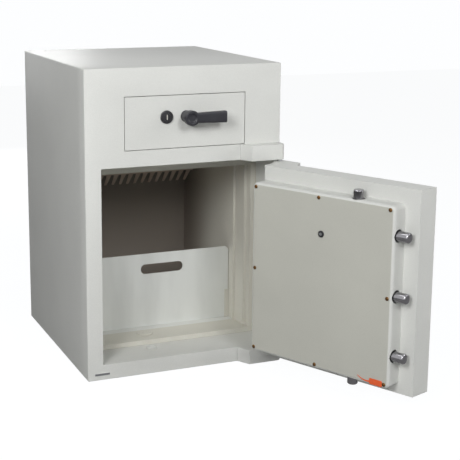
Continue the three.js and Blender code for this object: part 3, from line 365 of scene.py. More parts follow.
@dataclass(frozen=True)
class Moulding(Recipe):
    """Moulded plastic or enamel with a fine spark-eroded skin."""

    roughness: float
    grain: float = 0.4 * MM
    depth: float = 0.012 * MM
    edge: float = 0.3 * MM
    wear: float = 9.0 * MM
    wear_share: float = 0.6
    wear_dulling: float = 0.1
    worn_times: float = 1.25
    worn_plus: float = 0.004
    skin_dulling: float = 0.08
    mean_dulling: float = 0.06
    gloss: float = 0.5

    def build(self) -> bpy.types.Material:
        """Moulding: fine skin in the normal, handling marks in colour and gloss.

        Returns:
            The new material.
        """
        sheet = self.sheet()
        skin = sheet.noise(self.grain)
        wear = sheet.noise(self.wear, detail=4.0).step(*WEAR_FADE)
        worn = scaled(self.colour, self.worn_times, self.worn_plus)
        smoothest = self.roughness - self.mean_dulling
        return sheet.finish(
            Base_Color=sheet.blend(wear * self.wear_share, self.colour, worn),
            Roughness=skin * self.skin_dulling + wear * self.wear_dulling + smoothest,
            Specular_IOR_Level=self.gloss,
            Normal=sheet.bump(skin, self.depth, self.edge),
        )


class Finish(Enum):
    """The safe's finishes, each with the recipe that builds it and the record's slot."""

    OUTER_PAINT = (TexturedPaint("stoved_outside", srgb(220, 221, 217)), "front_paint")
    # The inside paint carries painted shade that darkens it towards the back of the chamber.
    INNER_PAINT = (
        DepthShadedPaint("sprayed_inside", srgb(212, 210, 200), grain=2.0 * MM, gloss=0.2),
        "inner_paint",
    )
    COMB_PAINT = (
        TexturedPaint("sprayed_comb", srgb(214, 199, 185), grain=2.0 * MM, gloss=0.2),
        "inner_paint",
    )
    COVER_PAINT = (
        TexturedPaint("stoved_cover", srgb(197, 197, 188), depth=0.035 * MM),
        "cover_paint",
    )
    ZINC_SHEET = (
        DrawnMetal(
            "zinc_sheet", srgb(230, 232, 229), 0.5,
            mottle=0.12, cloud=70 * MM, cloud_stretch=(1.0, 1.0, 0.2), metallic=0.4,
        ),
        "galvanised",
    )
    MILLED_STEEL = (
        DrawnMetal("milled_steel", srgb(176, 178, 180), 0.4, stretch=(1.0, 1.0, 0.04)),
        "bare_steel",
    )
    BRONZED_SCREW = (
        DrawnMetal("bronzed_screw", srgb(118, 88, 56), 0.28, stretch=(1.0, 1.0, 1.0)),
        "yellow_zinc",
    )
    PLATE_METAL = (
        DrawnMetal("bare_maker_plate", srgb(132, 133, 136), 0.45, metallic=0.3),
        "plate_metal",
    )
    # The chromium's colour lies well below bare chrome's: painted shade that stands in for the
    # dark surroundings the bolts reflect.
    CHROME = (BrightPlate("chromium_plate", (0.31, 0.305, 0.32), 0.1), "chrome")
    NICKEL = (
        DrawnMetal("nickelled_edge", srgb(226, 224, 216), 0.4, grain=0.3 * MM, metallic=0.5),
        "chrome",
    )
    BLACK_LEVER = (Moulding("black_lever", srgb(38, 38, 44), 0.36), "black_handle")
    BLACK_LOCK = (Moulding("black_lock", srgb(38, 38, 41), 0.35), "black_handle")
    ORANGE_TAG = (Moulding("orange_tag", srgb(232, 98, 48), 0.5, edge=0.2 * MM), "tag_orange")

    def __init__(self, recipe: Recipe, slot: str) -> None:
        """Keeps the recipe and the record's material slot."""
        self.recipe = recipe
        self.slot = slot

    @cache
    def material(self) -> bpy.types.Material:
        """The finish's material, built once and then shared."""
        return self.recipe.build()


NODE_FINISHES: dict[Finish, tuple[str, ...]] = {
    Finish.OUTER_PAINT: (
        "front_frame", "cabinet_body", "sill_strike", "upper_hinge_block", "lower_hinge_block",
        "upper_knuckle", "lower_knuckle", "door_slab", "drawer_front",
    ),
    Finish.INNER_PAINT: (
        "door_frame", "drawer_housing", "plate_guide_left", "plate_guide_right", "anchor_plug",
        "drawer_box",
    ),
    Finish.COMB_PAINT: ("chute", "comb"),
    Finish.COVER_PAINT: ("rear_cover",),
    Finish.ZINC_SHEET: ("retaining_plate", "trap_floor"),
    Finish.MILLED_STEEL: (
        "upper_hinge_pin", "lower_hinge_pin", "runner_left", "runner_right", "rail_left",
        "rail_right", "door_lock_case", "side_bolt_guide", "top_bolt_guide", "bottom_bolt_guide",
        "bolt_carriage", "top_link", "bottom_link", "door_spindle", "drawer_spindle", "trap_pin",
    ),
    Finish.BLACK_LOCK: (
        "door_lock_barrel", "door_key_plug", "drawer_lock_barrel", "drawer_key_plug",
        "spindle_grommet",
    ),
    Finish.BLACK_LEVER: ("door_lever", "drawer_lever"),
    Finish.CHROME: (*SIDE_BOLTS, "top_bolt", "bottom_bolt"),
    Finish.BRONZED_SCREW: COVER_SCREWS,
    Finish.ORANGE_TAG: ("warning_tag",),
    Finish.PLATE_METAL: ("name_plate",),
}


@dataclass
class Surface:
    """A mesh as arrays: points, and faces that index them."""

    points: np.ndarray
    faces: list[tuple[int, ...]]

    def moved(self, carry: Callable[[np.ndarray], np.ndarray]) -> "Surface":
        """The surface with its points carried by a function of an array of points."""
        return Surface(carry(self.points), self.faces)

    def shifted(self, x: float, y: float, z: float) -> "Surface":
        """The surface moved by a distance along each axis."""
        return Surface(self.points + np.array([x, y, z]), self.faces)

    def laid(self, axis: int) -> "Surface":
        """The surface turned so that its Y axis lies along another axis, 0 for X and 2 for Z."""
        order = {0: (1, 2, 0), 1: (0, 1, 2), 2: (2, 0, 1)}[axis]
        return Surface(self.points[:, order], self.faces)

    def mirrored(self, axis: int) -> "Surface":
        """The surface seen in a mirror across one axis, with its faces turned back out."""
        flip = np.where(np.arange(3) == axis, -1.0, 1.0)
        return Surface(self.points * flip, [face[::-1] for face in self.faces])


def lofted(rings: Sequence[np.ndarray]) -> Surface:
    """Quads between rings of points, and a flat cap on either end.

    Args:
        rings: The rings, each with as many points.

    Returns:
        A closed surface.
    """
    around = len(rings[0])
    ring, spoke = np.meshgrid(np.arange(len(rings) - 1), np.arange(around), indexing="ij")
    here = ring * around + spoke
    beside = ring * around + (spoke + 1) % around
    quads = np.stack([here, beside, beside + around, here + around], axis=-1).reshape(-1, 4)
    faces = [tuple(quad) for quad in quads.tolist()]
    faces.append(tuple(range(around - 1, -1, -1)))
    faces.append(tuple(range((len(rings) - 1) * around, len(rings) * around)))
    return Surface(np.vstack(rings), faces)


def revolved(profile: Sequence[Pair], around: int = 72) -> Surface:
    """Turns a profile about the Y axis; radius and height are its two numbers.

    The point at angle a is (radius sin a, height, radius cos a), so that the faces point
    outwards when the heights rise along the outside. A profile starts and ends on the axis.

    Args:
        profile: Pairs of radius and height, from one end of the axis to the other.
        around: Points round the axis.

    Returns:
        A closed surface.
    """
    angle = np.arange(around) / around * TURN
    inner = np.asarray(profile, float)[1:-1]
    radius = inner[:, :1]
    height = np.repeat(inner[:, 1:], around, axis=1)
    return lofted(np.stack([radius * np.sin(angle), height, radius * np.cos(angle)], axis=-1))


def drums(*steps: Pair) -> list[Pair]:
    """The profile of drums that stand on one another.

    Args:
        steps: The radius of each and the level of its top.

    Returns:
        Pairs of radius and height.
    """
    corners = [(0.0, 0.0)]
    for radius, top in steps:
        corners += [(radius, corners[-1][1]), (radius, top)]
    return corners + [(0.0, corners[-1][1])]


def softened(
    corners: Sequence[Pair], radius: float, steps: int = 4, most: float = 0.45
) -> list[Pair]:
    """Rounds the inner corners of an open line, as a quadratic curve through each.

    Args:
        corners: The line's corners.
        radius: How far along each side the curve starts.
        steps: Pieces that a curve is made of.
        most: The share of a side that a curve takes at most.

    Returns:
        The rounded line.
    """
    line = [np.asarray(corner, float) for corner in corners]

    def towards(corner: np.ndarray, other: np.ndarray) -> np.ndarray:
        """Where the curve at a corner meets the side to another corner."""
        side = other - corner
        return corner + side * min(most, radius / max(1e-9, np.linalg.norm(side)))

    rounded = [tuple(line[0])]
    for before, corner, after in zip(line, line[1:], line[2:]):
        start, end = towards(corner, before), towards(corner, after)
        for share in np.linspace(0.0, 1.0, steps + 1):
            rest = 1 - share
            rounded.append(tuple(rest**2 * start + 2 * share * rest * corner + share**2 * end))
    rounded.append(tuple(line[-1]))
    return rounded


def quarter_round(radius: float, steps: int = 4) -> list[Pair]:
    """A quarter circle from a face into a side.

    Args:
        radius: Its radius.
        steps: Pieces that it is made of.

    Returns:
        Pairs of the distance inwards from the side and the depth under the face.
    """
    turn = np.linspace(0.0, QUARTER, steps + 1)
    return [(radius * (1 - math.sin(a)), radius * (1 - math.cos(a))) for a in turn]


def oblong(low: np.ndarray, high: np.ndarray, corner: float, steps: int = 8) -> np.ndarray:
    """The outline of a rectangle with round corners, which runs clockwise seen from -Y.

    Args:
        low: Its lowest X and Z.
        high: Its highest X and Z.
        corner: The radius of its corners.
        steps: Pieces that each corner is made of.

    Returns:
        An array of X and Z pairs.
    """
    (left, bottom), (right, top) = low + corner, high - corner
    arcs = []
    for quarter, (x, z) in enumerate(((right, top), (left, top), (left, bottom), (right, bottom))):
        turn = quarter * QUARTER + np.linspace(0.0, QUARTER, steps + 1)
        arcs.append(np.stack([x + corner * np.cos(turn), z + corner * np.sin(turn)], axis=-1))
    return np.vstack(arcs)[::-1]


def stepped(
    low: np.ndarray, high: np.ndarray, levels: Iterable[Pair], corner: float,
    least: float,
) -> Surface:
    """Rectangles with round corners along Y, each drawn in by an inset.

    Args:
        low: The lowest corner of the outermost.
        high: Its highest corner.
        levels: Pairs of inset and Y.
        corner: The radius of its corners.
        least: The least radius of a corner that is drawn in.

    Returns:
        A closed surface.
    """
    rings = []
    for inset, y in levels:
        radius = max(corner - inset, least)
        outline = oblong(low[[0, 2]] + inset, high[[0, 2]] - inset, radius)
        rings.append(np.insert(outline, 1, y, axis=1))
    return lofted(rings)


def slab(
    low: np.ndarray, high: np.ndarray, corner: float, edge: float, front: bool = True
) -> Surface:
    """A plate that lies across Y, with round corners and its front or both faces eased over.

    Args:
        low: Its lowest corner.
        high: Its highest corner.
        corner: The radius of its corners, seen from the front.
        edge: The radius over which its faces round into its sides.
        front: Whether only the front is eased, and not the back.

    Returns:
        A closed surface.
    """
    eased = quarter_round(edge)
    levels = [(inset, low[1] + depth) for inset, depth in eased]
    levels += [(0.0, high[1])] if front else [(depth, high[1] - inset) for inset, depth in eased]
    return stepped(low, high, levels, corner, edge / 4)


def bar(radius: float, middle: Sequence[float], axis: int, start: float, end: float) -> Surface:
    """A round bar along an axis, for cutting.

    Args:
        radius: Its radius.
        middle: A point of its centre line.
        axis: 0 where it lies along X, to 2 where it stands along Z.
        start: Its lower end along the axis.
        end: Its upper end along the axis.

    Returns:
        A closed surface.
    """
    place = np.array(middle, float)
    place[axis] = start
    return revolved(drums((radius, end - start))).laid(axis).shifted(*place)


def placed(name: str, data: bpy.types.ID) -> bpy.types.Object:
    """Puts a new object into the scene.

    Args:
        name: Its name.
        data: Its mesh, lamp or camera.

    Returns:
        The object.
    """
    made = bpy.data.objects.new(name, data)
    bpy.context.scene.collection.objects.link(made)
    return made


def blank(name: str, surface: Surface) -> bpy.types.Object:
    """Puts a new object with a surface as its mesh into the scene.

    Args:
        name: Its name.
        surface: The surface.

    Returns:
        The object.
    """
    mesh = bpy.data.meshes.new(name)
    mesh.from_pydata(surface.points.tolist(), [], surface.faces)
    mesh.validate()
    return placed(name, mesh)


@dataclass
class Space:
    """The row's frame, turned by an angle in radians about a pivot that stands upright."""

    pivot: Place = (0.0, 0.0, 0.0)
    angle: float = 0.0

    @classmethod
    def of_door(cls) -> "Space":
        """Reads from the joints where the door's pins are and how far it stands open.

        Returns:
            The door's space.
        """
        x, y, _ = JOINTS["door_hinge"]["pos_m"]
        axis = JOINTS["door_handle_turn"]["axis"]
        return cls((x, y, 0.0), math.atan2(-axis[0], axis[1]))

    def _turned(self, points: np.ndarray, angle: float) -> np.ndarray:
        """Turns points about the pivot.

        Args:
            points: An array of them.
            angle: The angle in radians.

        Returns:
            The turned array.
        """
        local = np.asarray(points, float) - self.pivot
        cos, sin = math.cos(angle), math.sin(angle)
        x, y, z = local[..., 0], local[..., 1], local[..., 2]
        return np.stack([x * cos - y * sin, x * sin + y * cos, z], axis=-1) + self.pivot

    def carry(self, points: np.ndarray) -> np.ndarray:
        """Takes places as made to where they are at rest."""
        return self._turned(points, self.angle)

    def back(self, points: np.ndarray) -> np.ndarray:
        """Takes places at rest back to where they are made."""
        return self._turned(points, -self.angle)

    def copy(self, node: str) -> Surface:
        """Reads a CAD node's surface and merges the corners of its loose triangles.

        Args:
            node: The node's name.

        Returns:
            The surface as it is made.
        """
        mesh = frame["nodes"][node].data
        flat = np.empty(3 * len(mesh.vertices))
        mesh.vertices.foreach_get("co", flat)
        places = flat.reshape(-1, 3)
        corners = np.empty(len(mesh.loops), np.int32)
        mesh.loops.foreach_get("vertex_index", corners)
        cells = np.round(places / WELD).astype(np.int64)
        _, first, merged = np.unique(cells, axis=0, return_index=True, return_inverse=True)
        triangles = merged.reshape(-1)[corners].reshape(-1, 3)
        a, b, c = triangles.T
        triangles = triangles[(a != b) & (b != c) & (c != a)]
        return Surface(self.back(places[first]), [tuple(face) for face in triangles.tolist()])

    def span(self, node: str) -> tuple[np.ndarray, np.ndarray]:
        """A CAD node's lowest and highest corners as it is made."""
        points = self.copy(node).points
        return points.min(axis=0), points.max(axis=0)

    def middle(self, node: str) -> np.ndarray:
        """The middle of a CAD node's span."""
        low, high = self.span(node)
        return (low + high) / 2

    def joint(self, name: str) -> np.ndarray:
        """A joint's place as made."""
        return self.back(JOINTS[name]["pos_m"])


@dataclass
class Workshop:
    """Turns surfaces, made in one space, into pieces that ride on the safe's bodies."""

    space: Space

    def piece(
        self,
        name: str,
        surface: Surface,
        body: str,
        finish: Finish,
        replaces: Iterable[str],
        crease: float = 35.0,
        joins: Iterable[Surface] = (),
        cuts: Iterable[Surface] = (),
    ) -> bpy.types.Object:
        """Makes an object of a surface, joined and cut by others, dresses it and hangs it up.

        Args:
            name: The piece's name.
            surface: Its mesh, as made.
            body: The body it rides on.
            finish: Its finish.
            replaces: The CAD nodes it stands for.
            crease: Edges sharper than this many degrees stay sharp.
            joins: Closed surfaces added to it, as made.
            cuts: Closed surfaces taken out of it, as made.

        Returns:
            The new object.
        """
        made = blank(name, surface.moved(self.space.carry))
        for operation, tools in (("UNION", joins), ("DIFFERENCE", cuts)):
            for tool in tools:
                self.combine(made, tool.moved(self.space.carry), operation)
        mesh = made.data
        mesh.materials.clear()
        mesh.materials.append(finish.material())
        mesh.polygons.foreach_set("use_smooth", np.ones(len(mesh.polygons), bool))
        mesh.set_sharp_from_angle(angle=math.radians(crease))
        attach(made, body)
        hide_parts(*replaces)
        LOG.info("piece %s on %s", name, body)
        return made

    def combine(self, made: bpy.types.Object, surface: Surface, operation: str) -> None:
        """Joins a closed surface to an object's mesh, or takes it out.

        Args:
            made: The object.
            surface: The surface, where it is at rest.
            operation: UNION or DIFFERENCE.
        """
        tool = blank("tool", surface)
        modifier = made.modifiers.new("combine", "BOOLEAN")
        modifier.operation = operation
        modifier.solver = "EXACT"
        modifier.object = tool
        graph = bpy.context.evaluated_depsgraph_get()
        result = bpy.data.meshes.new_from_object(made.evaluated_get(graph))
        made.modifiers.clear()
        made.data = result
        bpy.data.objects.remove(tool)

    def repaint(
        self, made: bpy.types.Object, finish: Finish, low: Sequence[float], high: Sequence[float]
    ) -> None:
        """Gives another finish to the faces of a piece that have their centres in a box.

        Args:
            made: The piece.
            finish: The other finish.
            low: The box's lowest corner, as made.
            high: Its highest corner.
        """
        mesh = made.data
        centres = np.empty(3 * len(mesh.polygons))
        mesh.polygons.foreach_get("center", centres)
        mesh.materials.append(finish.material())
        places = self.space.back(centres.reshape(-1, 3))
        meant = ((places > low) & (places < high)).all(axis=1)
        mesh.polygons.foreach_set("material_index", meant.astype(np.int32))

    def dress_nodes(self) -> None:
        """Gives every CAD node its finish."""
        for finish, names in NODE_FINISHES.items():
            for name in names:
                node = frame["nodes"][name]
                node.data.materials.clear()
                node.data.materials.append(finish.material())
        LOG.info("dressed %d nodes", len(frame["nodes"]))


@dataclass
class Maker:
    """What makes some of the pieces, in one workshop."""

    shop: Workshop

    @property
    def space(self) -> Space:
        """The space that the workshop makes them in."""
        return self.shop.space


@dataclass
class Shell(Maker):
    """The cabinet as one welded and painted piece, without the joints that its solids have."""

    lap: float = 0.05 * MM
    reach: float = 1.0 * MM
    skin: float = 5.0 * MM

    def build(self) -> None:
        """Joins the front, the body and the strike, and paints the chamber above its floor in the
        inside paint, which darkens towards the back as painted shade.
        """
        _, front_high = self.space.span("front_frame")
        body_low, body_high = self.space.span("cabinet_body")
        front = self.space.copy("front_frame")
        y = front.points[:, 1]
        y[y > front_high[1] - self.lap] = body_low[1] + self.lap
        strike_low, strike_high = self.space.span("sill_strike")
        strike = self.space.copy("sill_strike")
        for axis in range(3):
            values = strike.points[:, axis]
            values[np.abs(values - strike_low[axis]) < self.lap] -= self.reach
            if axis < 2:
                values[np.abs(values - strike_high[axis]) < self.lap] += self.reach
        shell = self.shop.piece(
            "painted_shell",
            self.space.copy("cabinet_body"),
            "cabinet",
            Finish.OUTER_PAINT,
            ["front_frame", "cabinet_body", "sill_strike"],
            joins=[front, strike],
        )
        doorway = self.space.span("door_frame")[0][1]
        floor = self.space.span("plate_guide_left")[0][2]
        inside = (body_low[0] + self.skin, doorway + self.lap, floor + self.lap)
        # Painted shade: the chamber above its floor takes the inside paint that darkens towards
        # the back.
        self.shop.repaint(shell, Finish.INNER_PAINT, inside, body_high - self.skin)


@dataclass
class HingeLeaf(Maker):
    """A fixed hinge leaf: sloped on one side, round-nosed on the other, with eased ends."""

    slope: float = 17.5 * MM
    nose: float = 12 * MM
    nose_points: int = 13
    edge: float = 1.5 * MM
    slope_ease: float = 0.6

    def build(self, node: str, pin: str) -> None:
        """Makes the leaf and bores it for its pin.

        Args:
            node: The CAD leaf that it stands for.
            pin: The pin that stands in it.
        """
        low, high = self.space.span(node)
        eased = quarter_round(self.edge)
        levels = [(inset, low[2] + depth) for inset, depth in eased]
        levels += [(depth, high[2] - inset) for inset, depth in eased]
        arc = np.linspace(-QUARTER, 0.0, self.nose_points)
        rings = []
        for inset, z in levels:
            nose = self.nose - inset
            x = high[0] - self.nose + nose * np.cos(arc)
            y = low[1] + self.nose + nose * np.sin(arc)
            flat = [
                (high[0] - inset, high[1]),
                (low[0] + inset, high[1]),
                (low[0] + self.slope + inset * self.slope_ease, low[1] + inset),
            ]
            outline = np.vstack([flat, np.stack([x, y], axis=-1)])
            rings.append(np.column_stack([outline, np.full(len(outline), z)]))
        pin_low, pin_high = self.space.span(pin)
        radius = (pin_high[0] - pin_low[0]) / 2 + SEAT
        bore = bar(radius, self.space.middle(pin), 2, pin_low[2] - SEAT, pin_high[2] + SEAT)
        self.shop.piece(
            f"painted_{node}", lofted(rings), "cabinet", Finish.OUTER_PAINT, [node],
            crease=40.0, cuts=[bore],
        )


@dataclass
class Bolts(Maker):
    """The five chromed bolts: a spigot, a shoulder, a barrel and a chamfered tip."""

    chamfer: float = 2 * MM
    spigot: float = 6 * MM
    side_spigot: float = 9.8 * MM
    end_spigot: float = 13.8 * MM
    ease: float = 0.6 * MM

    def bolt(self, node: str, body: str, axis: int, towards: int, spigot_length: float) -> None:
        """Makes one bolt along an axis.

        Args:
            node: The CAD bolt.
            body: Its body.
            axis: 0 where it lies along X and 2 where it stands along Z.
            towards: 1 where its tip points up the axis, and -1 where it points down it.
            spigot_length: The length of its thin end.
        """
        low, high = self.space.span(node)
        radius = (high[1] - low[1]) / 2
        length = high[axis] - low[axis]
        corners = drums((self.spigot, spigot_length), (radius, length - self.chamfer))[:-1]
        corners += [(radius - self.chamfer, length), (0.0, length)]
        made = revolved(softened(corners, self.ease)).laid(axis)
        place = (low + high) / 2
        place[axis] = low[axis] if towards > 0 else high[axis]
        if towards < 0:
            made = made.mirrored(axis)
        self.shop.piece(f"chromed_{node}", made.shifted(*place), body, Finish.CHROME, [node])

    def build(self) -> None:
        """Makes the three side bolts, the top bolt and the bottom bolt."""
        for node in SIDE_BOLTS:
            self.bolt(node, "side_bolts", 0, -1, self.side_spigot)
        self.bolt("top_bolt", "top_bolt_bar", 2, 1, self.end_spigot)
        self.bolt("bottom_bolt", "bottom_bolt_bar", 2, -1, self.end_spigot)


@dataclass
class Lever(Maker):
    """A black lever: a collar, a neck, a dished hub and a bar of rounded oblong section."""

    standoff: float = 44 * MM
    thickness: float = 16 * MM
    neck: float = 13 * MM
    collar: float = 14 * MM
    collar_height: float = 1.5 * MM
    hub: float = 18 * MM
    hub_taper: float = 2 * MM
    dish: float = 11 * MM
    dish_depth: float = 3 * MM
    dish_slope: float = 1.5 * MM
    ease: float = 1.5 * MM
    reach: float = 89 * MM
    root_lap: float = 1.0 * MM
    root_height: float = 24 * MM
    tip_height: float = 28 * MM
    squareness: float = 0.3
    end_round: float = 3.0 * MM

    def hub_surface(self) -> Surface:
        """The collar, the neck and the hub, revolved, with the dish in the hub's face.

        Returns:
            A closed surface.
        """
        face = -self.standoff
        back = face + self.thickness
        corners = [
            (0.0, face + self.dish_depth),
            (self.dish - self.dish_slope, face + self.dish_depth),
            (self.dish, face),
            (self.hub, face),
            (self.hub, back),
            (self.neck, back + self.hub_taper),
            (self.neck, -self.collar_height),
            (self.collar, -self.collar_height),
            (self.collar, -SEAT),
            (0.0, -SEAT),
        ]
        return revolved(softened(corners, self.ease))

    def bar_surface(self, along: int = 40, around: int = 48) -> Surface:
        """The bar: a rounded oblong carried outwards, drawn in at its ends.

        The section at distance x has half height h(x) and half thickness t, and its point at
        angle a is h sin a and t cos a, each raised to a small power so that the sides are flat.

        Args:
            along: Sections along the bar.
            around: Points round each section.

        Returns:
            A closed surface.
        """
        share = np.sin(np.linspace(0.0, QUARTER, along))
        start = self.dish + self.root_lap
        x = start + (self.reach - start) * share
        height = (self.root_height + (self.tip_height - self.root_height) * share) / 2
        drawn = np.clip((self.reach - x) / self.end_round, 0.0, 1.0)
        inset = (1.0 - np.sqrt(1.0 - (1.0 - drawn) ** 2)) * self.end_round
        angle = (np.arange(around) + 0.5) / around * TURN
        rise = np.sign(np.sin(angle)) * np.abs(np.sin(angle)) ** self.squareness
        side = np.sign(np.cos(angle)) * np.abs(np.cos(angle)) ** self.squareness
        half = self.thickness / 2
        z = (height - inset)[:, None] * rise[None, :]
        y = (half - inset)[:, None] * side[None, :] + (half - self.standoff)
        return lofted(np.stack([np.repeat(x[:, None], around, axis=1), y, z], axis=-1))

    def build(self, node: str, body: str, joint: str, seat: str) -> None:
        """Makes the lever about its spindle.

        Args:
            node: The CAD lever.
            body: Its body.
            joint: The joint that it turns by, which gives the spindle's place.
            seat: The CAD node whose front the collar sits on.
        """
        x, _, z = self.space.joint(joint)
        place = (x, self.space.span(seat)[0][1], z)
        self.shop.piece(
            f"moulded_{node}", self.hub_surface().shifted(*place), body, Finish.BLACK_LEVER,
            [node], crease=50.0, joins=[self.bar_surface().shifted(*place)],
        )


@dataclass
class KeyLock(Maker):
    """A key lock: a fixed black ring with an eased rim, and a plug with a bright key slot."""

    rim: float = 1.2 * MM
    plug_rim: float = 0.5 * MM
    slot_width: float = 2.4 * MM
    slot_height: float = 12 * MM
    slot_depth: float = 1.2 * MM
    slot_edge: float = 0.1 * MM
    skin: float = 0.02 * MM

    def build(self, barrel: str, barrel_body: str, plug: str, plug_body: str) -> None:
        """Makes the ring and the plug.

        Args:
            barrel: The CAD barrel.
            barrel_body: Its body.
            plug: The CAD plug.
            plug_body: Its body.
        """
        low, high = self.space.span(barrel)
        plug_low, plug_high = self.space.span(plug)
        x, _, z = middle = (low + high) / 2
        inner = (plug_high[0] - plug_low[0]) / 2
        profile = drums(((high[0] - low[0]) / 2, high[1] - low[1]))
        ring = revolved(softened(profile, self.rim)).shifted(x, low[1], z)
        bore = bar(inner + SEAT, middle, 1, low[1] - self.rim, high[1] + self.rim)
        self.shop.piece(
            f"moulded_{barrel}", ring, barrel_body, Finish.BLACK_LOCK, [barrel], cuts=[bore]
        )
        profile = drums((inner, plug_high[1] - plug_low[1]))
        core = revolved(softened(profile, self.plug_rim)).shifted(x, plug_low[1], z)
        face = np.array([x, plug_low[1], z])
        half = np.array([self.slot_width / 2, self.slot_depth, self.slot_height / 2])
        slot = slab(face - half, face + half, self.slot_width / 3, self.slot_edge)
        made = self.shop.piece(
            f"moulded_{plug}", core, plug_body, Finish.BLACK_LOCK, [plug], cuts=[slot]
        )
        low, high = face - half - self.skin, face + half + self.skin
        low[1] = face[1] + self.skin
        self.shop.repaint(made, Finish.NICKEL, low, high)


@dataclass
class CoverPan(Maker):
    """The door's rear cover: a pillow-edged pan with its holes cut through."""

    sheet: float = 2 * MM
    pillow: float = 7 * MM
    corner: float = 12 * MM
    hole: float = 15 * MM
    screw_hole: float = 2.3 * MM
    neck_hole: float = 6.5 * MM
    rim: float = 0.3 * MM
    far: float = 20 * MM

    def form(self, inset: float, front: float, rear: float) -> Surface:
        """Straight sides that round over to a flat face: rings along a quarter circle.

        Args:
            inset: How far it lies inside the pan's outline.
            front: The Y of its open side.
            rear: The Y of its face.

        Returns:
            A closed surface.
        """
        low, high = self.space.span("rear_cover")
        eased = quarter_round(self.pillow - inset, steps=12)
        levels = [(inset, front)] + [(inset + depth, rear - side) for side, depth in eased]
        return stepped(low, high, levels, self.corner, self.sheet / 2)

    def build(self) -> None:
        """Makes the pan, cuts its bolt, screw and spindle holes, and paints its bent rim in the
        lighter outside paint as painted light.
        """
        low, high = self.space.span("rear_cover")
        cuts = [self.form(self.sheet, low[1] - self.far, high[1] - self.sheet)]
        sides = [(name, 0, low[0]) for name in SIDE_BOLTS]
        for name, axis, side in (*sides, ("top_bolt", 2, high[2]), ("bottom_bolt", 2, low[2])):
            middle = self.space.middle(name)
            cuts.append(bar(self.hole, middle, axis, side - self.far, side + self.far))
        through = [(self.screw_hole, self.space.middle(name)) for name in COVER_SCREWS]
        through.append((self.neck_hole, self.space.joint("door_handle_turn")))
        for radius, middle in through:
            cuts.append(bar(radius, middle, 1, high[1] - self.far / 2, high[1] + self.far))
        cover = self.shop.piece(
            "pressed_rear_cover", self.form(0.0, low[1], high[1]), "door", Finish.COVER_PAINT,
            ["rear_cover"], crease=40.0, cuts=cuts,
        )
        # Painted light: the rim round the flat face takes the lighter outside paint, and the face
        # keeps the darker cover paint.
        flat = high[1] - self.rim
        around = (high[0] + self.far, flat, high[2] + self.far)
        self.shop.repaint(cover, Finish.OUTER_PAINT, low - self.far, around)


@dataclass
class CoverScrews(Maker):
    """Domed cross-recess screws that hold the cover."""

    recess: float = 1.3 * MM
    arm_width: float = 1.1 * MM
    arm_share: float = 0.58
    blur: float = 0.25 * MM
    centre_share: float = 0.02
    turn_step: float = 0.7

    def head_surface(
        self, head: float, dome: float, turn: float, rings: int = 22, around: int = 72
    ) -> Surface:
        """The head: a dome over a disc, sunk by a soft-edged cross.

        The height at radius r is the dome's, less the recess where the point lies within half an
        arm's width of either diameter and inside the arm's length.

        Args:
            head: The head's radius.
            dome: The height of its middle.
            turn: How far its cross is turned, in radians.
            rings: Rings from the middle to the rim.
            around: Points in each ring.

        Returns:
            A closed surface about the Y axis.
        """
        angle = np.arange(around) / around * TURN
        radius = head * np.linspace(self.centre_share, 1.0, rings)[::-1, None]
        x, z = radius * np.sin(angle), radius * np.cos(angle)
        swell = dome * np.sqrt(np.clip(1.0 - (radius / head) ** 2, 0.0, 1.0))
        near = np.minimum(np.abs(x), np.abs(z))
        far = np.maximum(np.abs(x), np.abs(z))
        across = np.clip((self.arm_width / 2 + self.blur - near) / self.blur, 0.0, 1.0)
        within = np.clip((head * self.arm_share + self.blur - far) / self.blur, 0.0, 1.0)
        y = SEAT + swell - self.recess * across * within
        rim = np.stack([x[0], np.full(around, SEAT / 3), z[0]])
        x, y, z = np.concatenate([rim[:, None], [x, y, z]], axis=1)
        cos, sin = math.cos(turn), math.sin(turn)
        return lofted(np.stack([x * cos - z * sin, y, x * sin + z * cos], axis=-1))

    def build(self) -> None:
        """Sets a head on each of the eight places."""
        _, cover = self.space.span("rear_cover")
        for number, node in enumerate(COVER_SCREWS, 1):
            low, high = self.space.span(node)
            x, _, z = self.space.middle(node)
            dome = high[1] - cover[1] - SEAT
            head = self.head_surface((high[0] - low[0]) / 2, dome, number * self.turn_step)
            head = head.shifted(x, cover[1], z)
            self.shop.piece(f"bronzed_{node}", head, "door", Finish.BRONZED_SCREW, [node])


